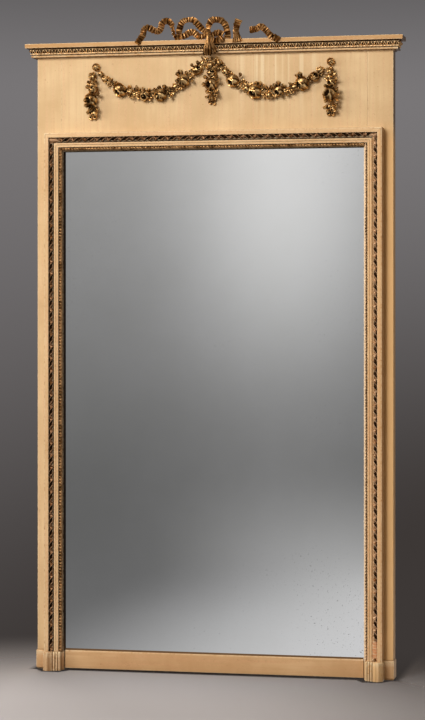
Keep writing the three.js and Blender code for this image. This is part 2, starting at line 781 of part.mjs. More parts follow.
/** The knot: a ball of ribbon on the cornice with a band that falls over the cornice's face. */
function knot(grow) {
  const ball = new THREE.SphereGeometry(knotRadius, 9, 6)
  ball.scale(1 + grow / knotRadius, 0.9, 1.1 + grow / knotRadius)
  ball.translate(knotX, front(stand), topZ + knotZ)
  const places = [
    [-8, knotZ, stand + 4, 9], [-8, 6, 34, 9], [-8, -4, 41, 10], [-8, -16, 41, 16], [-9, -32, 38, 26],
    [-9, -45, 32, 26], [-9, -50, 26, 22]
  ]
  const outline = [[-0.5, -0.4], [0, -0.5], [0.5, -0.4], [0.5, 0.4], [0, 0.5], [-0.5, 0.4]]
  const band = through(outline, places.map(([x, z, out, width]) => (u, v) => [
    x + u * (width + 2 * grow), front(out + v * (crestThickness + 5 + 2 * grow)), topZ + z]))
  return joined([ball, band])
}

const corniceRoom = solidOf(board(-halfWidth, halfWidth, front(corniceProjection + fit), back,
  corniceBottom, topZ + fit))

/** Cuts a piece of the crest to sit on the cornice's top and against its face. */
const seated = solid => geometryOf(solid.subtract(corniceRoom))

/** Joins the lengths of one side of the bow, cut where the knot holds them. */
const tuckedIn = geometries => seated(joined(geometries).subtract(knot(fit)))

piece('crest_knot', seated(knot(0)), gilt)

piece('crest_left_tail', seated(solidOf(crimped([
  [-243, -5, drapedProjection, flatRibbon], [-238, 3, drapedProjection, flatRibbon],
  [-230, 14, stand + 6, flatRibbon], [-228, 27, stand, flatRibbon], [-224, 39, stand, flatRibbon],
  [-213, 45, stand, flatRibbon], [-200, 40, stand, flatRibbon], [-187, 33, stand, flatRibbon],
  [-174, 34, stand, flatRibbon], [-166, 45, stand, flatRibbon], [-163, 57, stand, flatRibbon],
  [-152, 65, stand, flatRibbon], [-140, 63, stand, flatRibbon], [-130, 52, stand, turnedRibbon],
  [-128, 36, stand, turnedRibbon], [-127, 22, stand, turnedRibbon], [-125, 10, stand, turnedRibbon]
]))), gilt)

piece('crest_left_loop', tuckedIn([
  crimped([
    [-106, 20, stand, flatRibbon], [-105, 33, stand, flatRibbon], [-100, 50, stand, flatRibbon],
    [-88, 61, stand, flatRibbon], [-72, 64, stand, flatRibbon], [-56, 60, stand, flatRibbon],
    [-44, 48, stand, flatRibbon], [-33, 36, stand, flatRibbon], [-18, 26, stand, flatRibbon]
  ]),
  crimped([
    [-118, rest, stand, flatRibbon], [-100, rest + 1, stand, flatRibbon],
    [-82, rest + 7, stand, flatRibbon], [-63, rest + 15, stand, flatRibbon],
    [-48, rest + 10, stand, flatRibbon], [-32, rest + 3, stand, flatRibbon],
    [-12, rest + 4, stand, flatRibbon]
  ])
]), gilt)

piece('crest_right_loop', tuckedIn([
  crimped([
    [-2, 22, stand, flatRibbon], [-3, 40, stand, flatRibbon], [2, 55, stand, flatRibbon],
    [16, 62, stand, flatRibbon], [33, 59, stand, flatRibbon], [44, 48, stand, flatRibbon],
    [49, 34, stand, flatRibbon], [51, 20, stand, flatRibbon], [51, rest - 1, stand, flatRibbon]
  ]),
  crimped([
    [-4, rest + 2, stand, flatRibbon], [14, rest + 6, stand, flatRibbon],
    [30, rest + 7, stand, flatRibbon], [50, rest + 2, stand, flatRibbon]
  ])
]), gilt)

piece('crest_right_stub', seated(solidOf(crimped([
  [86, -5, drapedProjection, flatRibbon * 1.4], [85, 4, drapedProjection, flatRibbon * 1.2],
  [83, 18, stand + 4, flatRibbon], [82, 32, stand, flatRibbon], [84, 46, stand, flatRibbon],
  [89, 62, stand, flatRibbon]
]))), gilt)

piece('crest_right_tail', seated(solidOf(crimped([
  [128, 29, stand, flatRibbon], [141, 29, stand, flatRibbon], [153, 31, stand, flatRibbon],
  [165, 38, stand, flatRibbon], [179, 29, stand, flatRibbon], [192, 15, stand + 5, flatRibbon],
  [203, 3, drapedProjection, flatRibbon], [214, -1, drapedProjection, flatRibbon],
  [224, -6, drapedProjection, flatRibbon]
]))), gilt)

export default mirrorFrame
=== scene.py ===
"""Looks of a trumeau mirror: cream-painted wood with worn gilt carving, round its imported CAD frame.

Metres. X runs to the right, -Y to the front and Z up; the face of the stiles is the plane y = FACE.
"""
import math
import random

import bmesh
import bpy
from mathutils import Matrix, Vector
from mathutils.bvhtree import BVHTree


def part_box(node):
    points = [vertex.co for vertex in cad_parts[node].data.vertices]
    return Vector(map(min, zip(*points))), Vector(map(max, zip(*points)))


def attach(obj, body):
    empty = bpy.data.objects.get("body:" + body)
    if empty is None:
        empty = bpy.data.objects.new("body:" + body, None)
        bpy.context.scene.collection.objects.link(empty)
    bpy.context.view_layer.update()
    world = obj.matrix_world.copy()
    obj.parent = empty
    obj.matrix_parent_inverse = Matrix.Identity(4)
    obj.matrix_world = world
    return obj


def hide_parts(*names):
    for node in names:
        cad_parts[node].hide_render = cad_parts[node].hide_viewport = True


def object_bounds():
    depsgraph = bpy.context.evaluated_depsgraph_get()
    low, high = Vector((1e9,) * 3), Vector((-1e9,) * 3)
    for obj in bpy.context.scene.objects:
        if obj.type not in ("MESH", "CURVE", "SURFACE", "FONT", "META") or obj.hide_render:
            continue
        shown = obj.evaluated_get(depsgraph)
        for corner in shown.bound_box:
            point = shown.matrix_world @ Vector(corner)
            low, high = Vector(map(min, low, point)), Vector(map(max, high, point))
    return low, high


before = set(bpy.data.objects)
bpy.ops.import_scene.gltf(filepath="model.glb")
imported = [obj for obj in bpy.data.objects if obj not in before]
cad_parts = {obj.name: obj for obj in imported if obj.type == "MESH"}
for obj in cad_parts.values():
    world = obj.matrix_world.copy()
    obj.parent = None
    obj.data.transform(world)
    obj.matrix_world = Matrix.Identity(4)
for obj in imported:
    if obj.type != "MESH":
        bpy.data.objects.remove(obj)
cad_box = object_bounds()

# ---------------------------------------------------------------- camera
# The photograph was taken from the right, a little above half height, with a long lens and the
# picture plane upright, so the frame is moved down by lens shift instead of by tilting.
bpy.ops.object.select_all(action="DESELECT")
bpy.ops.object.camera_add(location=(1.5638, -7.2319, 1.1644),
                          rotation=(math.radians(90), 0, math.radians(12.2)))
camera = bpy.context.object
camera.data.sensor_fit = "VERTICAL"
camera.data.sensor_height = 36
camera.data.lens = 113.15
camera.data.shift_y = -42 / 720
camera.data.clip_end = 60
bpy.context.scene.camera = camera
bpy.context.scene.view_settings.view_transform = "Standard"

# ---------------------------------------------------------------- studio
# A plain pale floor that fades into a grey room, with a painted shadow round the foot of the rail and the plinth
# blocks, a broad soft light at the upper left, and weak ones at the left side, the right and the rear. The glass
# mirrors the floor as a glowing sheet, a painted reflection, and a glow on a grey wall.


def tone(code):
    """An sRGB hex colour as linear RGBA."""
    parts = [int(code[i:i + 2], 16) / 255 for i in (1, 3, 5)]
    return (*[p / 12.92 if p <= 0.04045 else ((p + 0.055) / 1.055) ** 2.4 for p in parts], 1)


def add(tree, kind, inputs=(), out=0, **settings):
    """Adds a shader node and gives its output (all of them for None); an input is a value or a socket."""
    made = tree.nodes.new("ShaderNode" + kind)
    for key, value in settings.items():
        setattr(made, key, value)
    for key, value in inputs.items() if isinstance(inputs, dict) else enumerate(inputs):
        if isinstance(value, bpy.types.NodeSocket):
            tree.links.new(value, made.inputs[key])
        else:
            made.inputs[key].default_value = value
    return made.outputs if out is None else made.outputs[out]


def new_material(name):
    """An empty material and its node tree."""
    material = bpy.data.materials.new(name)
    material.use_nodes = True
    material.node_tree.nodes.clear()
    return material, material.node_tree


def coat(obj, material):
    """Gives obj this material and no other."""
    obj.data.materials.clear()
    obj.data.materials.append(material)


def begin(kind, name="", **settings):
    """The primitive that a form is shaped from."""
    getattr(bpy.ops.mesh, f"primitive_{kind}_add")(**settings)
    bpy.context.object.name = name or kind
    return bpy.context.object


floor = begin("circle", "studio_floor", vertices=96, radius=4.5, fill_type="NGON")
material, tree = new_material("pale_paper_floor")
place = add(tree, "TexCoord", out="Object")
x, y, _ = add(tree, "SeparateXYZ", [place], None)
reach = add(tree, "VectorMath", (place, (-0.25, -1.05, 0)), "Value", operation="DISTANCE")
fade = add(tree, "MapRange", (reach, 0.45, 1.95), interpolation_type="SMOOTHSTEP")
# a painted shadow on the paper along the foot of the rail and round the plinth blocks
aside = add(tree, "Math", [x], operation="ABSOLUTE")
inner_end = add(tree, "MapRange", (aside, 0.478, 0.504))
outer_end = add(tree, "MapRange", (aside, 0.592, 0.562))
block = add(tree, "Math", (inner_end, outer_end), operation="MULTIPLY")
before = add(tree, "Math", (block, 0.045, y), operation="MULTIPLY_ADD")
under = add(tree, "MapRange", (before, -0.034, -0.007, 0, 0.92), interpolation_type="SMOOTHSTEP")
ends = add(tree, "MapRange", (aside, 0.625, 0.600))
shade = add(tree, "Math", (under, ends), operation="MULTIPLY")
shaded = add(tree, "Mix", {0: shade, 6: tone("#c1c4cf"), 7: tone("#14100d")}, 2, data_type="RGBA")
paper = add(tree, "BsdfDiffuse", [shaded])
clear = add(tree, "BsdfTransparent")
ground = add(tree, "MixShader", (fade, paper, clear))
# in the mirror plate the paper is a glowing sheet, a painted reflection that grows lighter to the right and darkens
# into the room with distance
glow = add(tree, "MapRange", (x, -0.98, 0.38, 0.175, 0.73), interpolation_type="SMOOTHSTEP")
painted_glow = add(tree, "Emission", (tone("#fefeff"), glow))
distance = add(tree, "MapRange", (y, -1.2, -4.3), interpolation_type="SMOOTHSTEP")
mirrored = add(tree, "MixShader", (distance, painted_glow, clear))
laid = add(tree, "MixShader", (add(tree, "LightPath", out="Is Glossy Ray"), ground, mirrored))
add(tree, "OutputMaterial", [laid], None)
coat(floor, material)

world = bpy.data.worlds.new("studio_room")
bpy.context.scene.world = world
world.use_nodes = True
tree = world.node_tree
tree.nodes.clear()
heading = add(tree, "TexCoord", out="Generated")
sideways, _, rise = add(tree, "SeparateXYZ", [heading], None)
# to the camera: a wall that is darkest below, lightest at eye level and dims again above
HORIZON = 0.05
tilt = add(tree, "Math", (sideways, 2.2, 1.465), operation="MULTIPLY_ADD")
lifted = add(tree, "Math", (rise, -HORIZON), operation="ADD")
slant = add(tree, "Math", (lifted, tilt), operation="MULTIPLY")
slanted = add(tree, "Math", (slant, HORIZON), operation="ADD")
low = add(tree, "MapRange", (slanted, -0.13, 0.11), interpolation_type="SMOOTHSTEP")
high = add(tree, "MapRange", (rise, 0.095, 0.17, 0, 0.6), interpolation_type="SMOOTHSTEP")
room = tone("#3d3836")
for share, code in ((low, "#797677"), (high, "#3a3838")):
    room = add(tree, "Mix", {0: share, 6: room, 7: tone(code)}, 2, data_type="RGBA")
# in the mirror plate: a grey wall, lighter above, with a soft bright patch
bank = add(tree, "MapRange", (rise, -0.07, 0.08, 0.150, 0.385))
across = add(tree, "Math", (sideways, 0.180), operation="ADD")
narrow = add(tree, "Math", (across, 24.0), operation="MULTIPLY")
square = add(tree, "Math", (narrow, 2.0), operation="POWER")
minus = add(tree, "Math", (square, -1.0), operation="MULTIPLY")
beam = add(tree, "Math", [minus], operation="EXPONENT")
climb = add(tree, "MapRange", (rise, -0.055, 0.055, 0.07, 0.50), interpolation_type="SMOOTHSTEP")
patch = add(tree, "Math", (beam, climb, bank), operation="MULTIPLY_ADD")
dawn = add(tree, "MapRange", (rise, -0.070, -0.125, 0, 0.42))
right_hand = add(tree, "MapRange", (sideways, -0.235, -0.155))
patch = add(tree, "Math", (dawn, right_hand, patch), operation="MULTIPLY_ADD")
seen = add(tree, "CombineColor", (patch, patch, patch))
ray = add(tree, "LightPath", out=None)
mirrored = add(tree, "Math", (ray["Is Glossy Ray"], ray["Is Transmission Ray"]), operation="MAXIMUM")
direct = add(tree, "Math", (mirrored, ray["Is Camera Ray"]), operation="MAXIMUM")
backdrop = add(tree, "Mix", {0: mirrored, 6: room, 7: seen}, 2, data_type="RGBA")
AMBIENT = 0.16
shown = add(tree, "Background", (backdrop, 1.0))
soft = add(tree, "Background", (tone("#ffd39a"), AMBIENT))
add(tree, "OutputWorld", [add(tree, "MixShader", (direct, soft, shown))], None)

for name, spot, aim, size, watts, colour in (
        ("key_softbox", (-1.5, -4.9, 3.95), (0, 0, 1.3), 2.4, 244, "#fff4e6"),
        ("side_softbox", (-4.6, -2.5, 2.7), (0, 0, 1.25), 1.6, 84, "#fff1de"),
        ("fill_softbox", (3.8, -3.0, 2.3), (0.2, 0, 1.0), 1.6, 12, "#fff4ea"),
        ("rear_softbox", (-2.4, 5.2, 3.4), (0, 0, 1.0), 2.6, 190, "#fff2e2")):
    towards = (Vector(spot) - Vector(aim)).to_track_quat("Z", "Y").to_euler()
    bpy.ops.object.light_add(type="AREA", location=spot, rotation=towards)
    lamp = bpy.context.object
    lamp.name = name
    lamp.data.size = size
    lamp.data.energy = watts
    lamp.data.color = tone(colour)[:3]

# ---------------------------------------------------------------- stiles, frieze panel and cap board
# Two full-height stiles and the frieze panel between them, of pine under gesso and cream oil paint
# that has yellowed, crackled and rubbed thin on its edges; the backs were never painted.

FACE = 0.001
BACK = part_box("left_stile")[1].y
HALF_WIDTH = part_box("right_stile")[1].x
CREAM = "#e8d2ad"
CREAM_GREY = "#d6bc95"
CREAM_ROSY = "#e3c2a0"


def surface(name):
    """A material's start: its tree, each point's place, and how rubbed and how hidden the point is."""
    material, tree = new_material(name)
    worn, hollow = [add(tree, "Attribute", out="Fac", attribute_name=key) for key in ("worn", "hollow")]
    return material, tree, add(tree, "TexCoord", out="Object"), worn, hollow


def cream_paint(name, body=CREAM, shade=CREAM_GREY, rosy=CREAM_ROSY, dirt="#6b4a2a", wear=1.0, drips=False,
                flanks=0.0, sight=False, gap=0, gesso=False, level=False, joint=0.0):
    """Aged oil paint over gesso: satin, mottled, faintly crackled, dirty and darkened as painted shade in corners,
    worn on arrises.
    """
    material, tree, place, worn, hollow = surface(name)
    x, y, z = add(tree, "SeparateXYZ", [place], None)
    # cloudy yellowing, some 15 cm across, and brush marks 10 mm wide and 20 cm long
    cloud = add(tree, "TexNoise", {"Vector": place, "Scale": 5.5, "Detail": 5.0, "Roughness": 0.55})
    brush, rose = [add(tree, "TexNoise", {"Scale": 1.0, "Detail": detail, "Vector": add(tree, "Mapping", {
        "Vector": place, "Scale": (long, fine, fine) if level else (fine, fine, long)})})
                   for long, fine, detail in ((4.5, 95, 4.0), (6 if level else 5, 120, 3.0))]
    layers = [(add(tree, "MapRange", (cloud, 0.38, 0.66)), body),
              (add(tree, "MapRange", (rose, 0.45, 0.70, 0, 0.55)), rosy),
              (add(tree, "MapRange", (brush, 0.45, 0.75, 0, 0.55)), shade)]
    if drips:
        # pale runs, right of the middle, that start at the cornice
        stripe = add(tree, "TexNoise", {"W": x, "Scale": 46.0, "Detail": 2.0}, noise_dimensions="1D")
        run = add(tree, "MapRange", (stripe, 0.52, 0.62, 0, 0.75))
        for axis, none, full in ((x, 0.04, 0.09), (x, 0.40, 0.27), (z, 1.79, 1.97)):
            run = add(tree, "Math", (run, add(tree, "MapRange", (axis, none, full))), operation="MULTIPLY")
        layers.append((run, "#f0e2c4"))
    # age crackle: cells 12 mm across, drawn twice as wide as real so that it shows
    bent = add(tree, "TexNoise", {"Vector": place, "Scale": 40.0, "Detail": 2.0}, "Color")
    cells_at = add(tree, "Mix", {0: 0.012, 4: place, 5: bent}, 1, data_type="VECTOR")
    cells = add(tree, "TexVoronoi", {"Vector": cells_at, "Scale": 82.0}, feature="DISTANCE_TO_EDGE")
    crack = add(tree, "MapRange", (cells, 0.0, 0.035, 1.0, 0.0))
    patch = add(tree, "MapRange", (rose, 0.47, 0.62, 0, 0.24))
    crackle = add(tree, "Math", (crack, patch), operation="MULTIPLY")
    # knocks a few millimetres across that show the size coat, dirt and painted shade in the corners, edges rubbed to
    # pale gesso with dark nicks, outer sides stained dark and painted darker as shade
    fleck = add(tree, "TexNoise", {"Vector": place, "Scale": 115.0, "Detail": 5.0, "Roughness": 0.6})
    broken = add(tree, "MapRange", (fleck, 0.36, 0.52))
    nick = add(tree, "MapRange", (fleck, 0.36, 0.31, 0, 0.8))
    rub = add(tree, "Math", (worn, wear), operation="MULTIPLY")
    grime_and_shade = add(tree, "MapRange", (hollow, 0.22, 0.62, 0, 0.93))
    outside = add(tree, "Math", [x], operation="ABSOLUTE")
    layers += [(crackle, dirt), (add(tree, "MapRange", (fleck, 0.685, 0.71, 0, 0.8)), "#a97c50"), (grime_and_shade, dirt),
               (add(tree, "Math", (rub, broken), operation="MULTIPLY", use_clamp=True), "#f9eaca"),
               (add(tree, "Math", (nick, rub), operation="MULTIPLY", use_clamp=True), "#7a5532"),
               (add(tree, "MapRange", (outside, 0.5944, 0.5949, 0, flanks)), "#5b3d24")]
    if sight:
        # the frame's wall beside the glass is painted black: painted shade
        inner = add(tree, "Math", (outside, 0.5019), operation="LESS_THAN")
        below = add(tree, "Math", (z, 1.7149), operation="LESS_THAN")
        rebate = add(tree, "Math", (inner, below), operation="MULTIPLY")
        layers.append((rebate, "#20130a"))
        grime_and_shade = add(tree, "Math", (rebate, grime_and_shade), operation="MAXIMUM")
    if gesso:
        # a pale painted highlight along the arris beside the glass
        layers.append((add(tree, "MapRange", (x, 0.5062, 0.5050, 0, 0.85)), "#f5e2c8"))
    if joint:
        # the right margin is more yellow, and has a painted shadow cast by the frame along it; a joint shows near
        # the foot
        margin = add(tree, "MapRange", (x, 0.560, 0.566, 0, 0.75))
        beside = add(tree, "MapRange", (z, 1.80, 1.73))
        ochre = add(tree, "Math", (margin, beside), operation="MULTIPLY")
        close = add(tree, "MapRange", (x, 0.5780, 0.5710, 0, 0.48))
        # painted shadow of the frame on the margin
        brown = add(tree, "Math", (close, ochre), operation="MULTIPLY")
        seam = add(tree, "Math", (z, joint, 0.0010), operation="COMPARE")
        seamed = add(tree, "Math", (seam, 0.7), operation="MULTIPLY")
        layers += [(ochre, "#f6cd94"), (brown, "#4f2c10"), (seamed, "#4a2f18")]
    if gap:
        # painted shade in the slot where the rail meets the glass
        layers.append((add(tree, "MapRange", (z, gap, gap + 0.0008, 0, 0.95)), "#2a190c"))
    # the back is bare wood, and the paint is darker towards the ground
    layers += [(add(tree, "MapRange", (y, 0.043, 0.047)), "#8a6a48"),
               (add(tree, "MapRange", (z, 0.14, 0.0, 0, 0.38)), "#9c7348")]
    colour = tone(shade)
    for share, code in layers:
        colour = add(tree, "Mix", {0: share, 6: colour, 7: tone(code)}, 2, data_type="RGBA")
    gloss = add(tree, "MapRange", (brush, 0.3, 0.7, 0.46, 0.62))
    matt = add(tree, "Math", (gloss, grime_and_shade), operation="MAXIMUM")
    marks = add(tree, "Math", (brush, crackle), operation="SUBTRACT")
    relief = add(tree, "Bump", {"Height": marks, "Distance": 0.0006, "Strength": 0.5})
    skin = add(tree, "BsdfPrincipled", {"Base Color": colour, "Roughness": matt, "IOR": 1.48, "Normal": relief,
                                        "Specular IOR Level": 0.22, "Specular Tint": tone("#ffe2bd")})
    add(tree, "OutputMaterial", [skin], None)
    return material


def alone(obj):
    """Makes obj the only selected object, and the active one."""
    bpy.ops.object.select_all(action="DESELECT")
    obj.select_set(True)
    bpy.context.view_layer.objects.active = obj


def edit(obj, step):
    """Runs an edit-mode step on the whole of obj's mesh."""
    alone(obj)
    bpy.ops.object.mode_set(mode="EDIT")
    bpy.ops.mesh.select_all(action="SELECT")
    step()
    bpy.ops.object.mode_set(mode="OBJECT")


def fix(obj, kind, **settings):
    """Adds a modifier to obj and applies it."""
    alone(obj)
    modifier = obj.modifiers.new(kind.lower(), kind)
    for key, value in settings.items():
        setattr(modifier, key, value)
    bpy.ops.object.modifier_apply(modifier=modifier.name)


def settle(obj):
    """Puts a piece's place, turn and size into its mesh."""
    alone(obj)
    bpy.ops.object.transform_apply(location=True, rotation=True, scale=True)


RAYS = [Vector((math.cos(a) * s, math.sin(a) * s, c)).normalized()
        for s, c, count, turn in ((0.45, 0.9, 4, 0.3), (0.85, 0.5, 7, 0.0)) for a in
        [turn + 2 * math.pi * i / count for i in range(count)]] + [Vector((0, 0, 1))]


def finish(obj, material, slot, *nodes, angle=40, depth=0.012, soil_and_shade=None):
    """Gives a finished piece its material, its shading and its place in the record.

    Its paint or gilding reads how rubbed (convex) and how hidden each point is, as written here: gilding is
    lightened on convex points as a painted highlight, and both darken hidden points as dirt and painted shade; soil
    tells, for a point, how much dirt and painted shade lies there whatever its surroundings."""
    obj.data.name = obj.name
    coat(obj, material)
    shape = bmesh.new()
    shape.from_mesh(obj.data)
    tree = BVHTree.FromBMesh(shape)
    worn, hollow = [], []
    for vert in shape.verts:
        bends = [edge.calc_face_angle_signed(0) for edge in vert.link_edges
                 if len(edge.link_faces) == 2 and max(len(f.verts) for f in edge.link_faces) < 5]
        worn.append(max(-1.0, min(1.0, 1.6 * sum(bends) / max(1, len(bends)))))
        turn = vert.normal.to_track_quat("Z", "Y")
        start = vert.co + vert.normal * 0.0004
        hits = sum(tree.ray_cast(start, turn @ ray, depth)[0] is not None for ray in RAYS)
        hidden = min(1.0, hits / len(RAYS) + 0.45 * max(0.0, -worn[-1]))
        hollow.append(max(hidden, soil_and_shade(vert.co)) if soil_and_shade else hidden)
    shape.free()
    for name, values in (("worn", worn), ("hollow", hollow)):
        obj.data.attributes.new(name, "FLOAT", "POINT").data.foreach_set("value", values)
    alone(obj)
    bpy.ops.object.shade_smooth_by_angle(angle=math.radians(angle))
    if nodes:
        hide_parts(*nodes)
    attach(obj, "root")


cream = cream_paint("aged_cream_paint", flanks=0.9, joint=0.0638)
cream_frieze = cream_paint("aged_cream_paint_frieze", drips=True)
ARRIS = 0.0012
for word in ("left", "right"):
    low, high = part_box(f"{word}_stile")
    stile = begin("cube", f"{word}_stile_post", size=1, location=(low + high) / 2)
    stile.scale = high - low
    settle(stile)
    edit(stile, lambda: bpy.ops.mesh.bevel(offset=ARRIS, segments=2, affect="EDGES"))
    # a narrow inset keeps the wear of the arrises off the faces
    edit(stile, lambda: bpy.ops.mesh.select_all(action="DESELECT"))
    for face in stile.data.polygons:
        face.select = face.area > 0.00005 and max(abs(c) for c in face.normal) > 0.999
    bpy.ops.object.mode_set(mode="EDIT")
    bpy.ops.mesh.inset(thickness=ARRIS, use_individual=True)
    bpy.ops.object.mode_set(mode="OBJECT")
    finish(stile, cream, "painted_wood", f"{word}_stile")
coat(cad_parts["frieze_panel"], cream_frieze)
coat(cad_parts["cap_board"], cream)

# ---------------------------------------------------------------- base rail and plinth blocks
# The rail under the glass is chamfered along its top; the blocks follow the steps of the frame
# above them. They take the most knocks, so the paint there is browner and rubbed on every edge.

CHAMFER = 0.004
cream_base = cream_paint("aged_cream_paint_base", body="#e6c7a0", shade="#cda981", rosy="#d9ad88", wear=1.2)
# a lighter, warmer copy of the base paint for the right block: painted light
cream_block_painted_light = cream_paint("aged_cream_paint_right_block_lit", body="#fbdcab", shade="#e9c18c", rosy="#f2c898",
                          wear=1.2)


def outlined(name, points, travel, steps=1):
    """A solid drawn out from a closed outline; it is the way all the mouldings are made."""
    obj = begin("circle", name, vertices=len(points), radius=1, fill_type="NGON")
    for vert, point in zip(obj.data.vertices, points):
        vert.co = point
    alone(obj)
    bpy.ops.object.mode_set(mode="EDIT")
    bpy.ops.mesh.select_all(action="SELECT")
    for _ in range(steps):
        bpy.ops.mesh.extrude_region_move(TRANSFORM_OT_translate={"value": Vector(travel) / steps})
    bpy.ops.mesh.select_all(action="SELECT")
    bpy.ops.mesh.normals_make_consistent(inside=False)
    bpy.ops.object.mode_set(mode="OBJECT")
    return obj


def mitre(obj, point, normal):
    """Cuts away what lies beyond a plane."""
    edit(obj, lambda: bpy.ops.mesh.bisect(plane_co=point, plane_no=normal, use_fill=True, clear_outer=True))


rail_low, rail_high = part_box("base_rail")
rail_face = rail_low.y
rail_section = [(0.0287, 0.005), (rail_face + 0.001, 0.005), (rail_face + 0.0003, 0.0053),
                (rail_face, 0.006), (rail_face, 0.0075), (rail_face, 0.0585), (rail_face, 0.0612),
                (rail_face + 0.0005, 0.0628), (rail_face + 0.0015, 0.0640), (rail_face + 0.0024, 0.0645),
                (FACE - 0.0016, 0.0655), (FACE - 0.0010, 0.0690), (FACE, 0.0700), (FACE, 0.0600),
                (0.0287, 0.0600)]
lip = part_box("left_plinth_block")[1].x + 0.0003
rail = outlined("base_rail_moulding", [(lip, y, z) for y, z in rail_section], (-2 * lip, 0, 0), 24)
# its slot beside the glass is painted dark: painted shade
cream_rail = cream_paint("aged_cream_paint_rail", body="#eecfa5", shade="#d6b187", rosy="#e4b792", wear=1.2,
                         gap=0.0640, level=True)
finish(rail, cream_rail, "painted_wood", "base_rail", depth=0.02)


def block_dirt_and_shade(u, side):
    """Dirt and painted shade in the quirks of a plinth block, and painted shade on the left block's facet that turns
    from the light.
    """
    if min(abs(u - quirk) for quirk in (0.0338, 0.0428, 0.0512)) < 0.0007:
        return 0.9
    if min(abs(u - arris) for arris in (0.0191, 0.0594)) < 0.0007:
        return 0.45
    return 0.34 if side < 0 and 0.0300 < u < 0.0328 else 0.0


for side, word in ((-1, "left"), (1, "right")):
    low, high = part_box(f"{word}_plinth_block")
    outer = max(abs(low.x), abs(high.x))
    plan = [(u / 1000, v / 1000) for u, v in
        ((0, 0.3), (0, 34), (0.2, 37.2), (1, 38.8), (11, 48.8), (12.4, 49.8), (13.8, 50), (16.5, 50),
         (18.2, 49.8), (19.6, 49), (31, 44), (32.4, 43), (33, 40.5), (33.8, 39.2), (34.8, 39.6), (35.4, 41),
         (36.6, 41.6), (40, 41.4), (41, 40.4), (41.6, 37.6), (42.8, 37), (43.6, 38.2), (44.6, 39),
         (48.4, 38.8), (49.4, 37.8), (50, 34.8), (51.2, 34), (52, 35.2), (53, 35.8), (56.8, 35.4),
         (58, 34.4), (58.8, 30), (60, 20), (62.2, 14), (64, 11), (64.5, 9), (64.5, 0.3))]
    block = outlined(f"{word}_forward_plinth", [(side * (outer - u), FACE - v, 0) for u, v in plan],
                     (0, 0, high.z), 6)
    # the top is worn to a soft chamfer, the foot to a blunt edge
    middle = side * (outer - 0.031)
    for vert in block.data.vertices:
        near_top = max(0.0, 1 - (high.z - vert.co.z) / 0.0001)
        if near_top > 0 and vert.co.y < FACE - 0.001:
            vert.co.y += CHAMFER
            vert.co.x += (middle - vert.co.x) * 0.11
        elif vert.co.z > high.z * 0.8 and near_top == 0:
            vert.co.z = high.z - CHAMFER
    finish(block, cream_base if side < 0 else cream_block_painted_light, "painted_wood", f"{word}_plinth_block", depth=0.02,
           soil_and_shade=lambda at: block_dirt_and_shade(outer - abs(at.x), side))
    low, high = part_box(f"{word}_outer_plinth")
    inner = min(abs(low.x), abs(high.x))
    outer = max(abs(low.x), abs(high.x))
    shape = [(inner, rail_face + 0.0004), (inner + 0.0004, rail_face), (inner + 0.003, rail_face),
             (outer - 0.003, rail_face), (outer - 0.001, rail_face + 0.0002), (outer, rail_face + 0.0012),
             (outer, rail_face + 0.004), (outer, high.y - 0.001), (outer - 0.001, high.y),
             (HALF_WIDTH + 0.0003, high.y), (HALF_WIDTH + 0.0003, FACE - 0.0003), (inner, FACE - 0.0003)]
    casing = outlined(f"{word}_outer_casing", [(side * x, y, low.z) for x, y in shape],
                      (0, 0, high.z - low.z), 5)
    for vert in casing.data.vertices:
        if vert.co.z > high.z - 0.0001:
            if abs(vert.co.x) > HALF_WIDTH + 0.001:
                vert.co.x = side * (HALF_WIDTH + 0.001)
            if vert.co.y < FACE - 0.001:
                vert.co.y = FACE - 0.0012
        elif vert.co.z > high.z - 0.016:
            vert.co.z = high.z - 0.0035
    finish(casing, cream_base, "painted_wood", f"{word}_outer_plinth", depth=0.02)

# ---------------------------------------------------------------- frame moulding
# Three lengths of moulding, mitred at the top corners and nailed to the stiles: a flat fillet, a deep
# channel for the twisted ribbon, a stepped band with a groove, a seat for the pearls and the sight edge.

FRAME_X = 0.563
FRAME_TOP = 1.776
FRAME_FOOT = 0.0623
frame_section = [(u / 1000, v / 1000) for u, v in
    ((0, 0.3), (0, 18), (0, 33.5), (0.4, 34.8), (1.2, 35.4), (4, 35.6), (4.4, 35.3), (5.2, 35.3),
     (5.8, 35.8), (6.8, 36), (13, 36), (14.6, 35.8), (15.5, 34.8), (15.9, 32.5), (16.3, 26), (17, 22.8),
     (18.6, 22), (24.6, 21.7), (25, 23.6), (25.8, 25.6), (27.2, 27.4), (29, 28.1), (30.8, 28.1), (32, 28.1),
     (32.8, 28.3), (33.2, 29), (33.5, 30), (33.9, 31.6), (35, 32), (36.2, 32), (38.6, 32), (39.4, 31.6),
     (39.9, 30.6), (40.7, 30.3), (41.2, 30.8), (42.2, 31), (46, 31), (47.2, 30.8), (47.9, 30), (48.2, 26),
     (48.4, 20.5), (49, 20), (57, 20), (57.7, 19.6), (58, 17.2), (58.4, 16.3), (59.4, 15.9), (60.4, 15.4),
     (61.3, 14.6), (61.5, 13.8), (61.5, 6), (61.5, 0.3))]
cream_frame = cream_paint("aged_cream_paint_frame", body="#e8caa2", shade="#d1ae83", rosy="#deb18f",
                          dirt="#241207", wear=0.9, sight=True)
cream_head = cream_paint("aged_cream_paint_frame_head", body="#e8caa2", shade="#d1ae83", rosy="#deb18f",
                         dirt="#241207", wear=0.9, sight=True, level=True)
# the right upright's arris beside the glass has a pale painted highlight
cream_right = cream_paint("aged_cream_paint_frame_right", body="#f0cd9f", shade="#dcb180", rosy="#ebb58c",
                          dirt="#241207", wear=0.9, gesso=True)


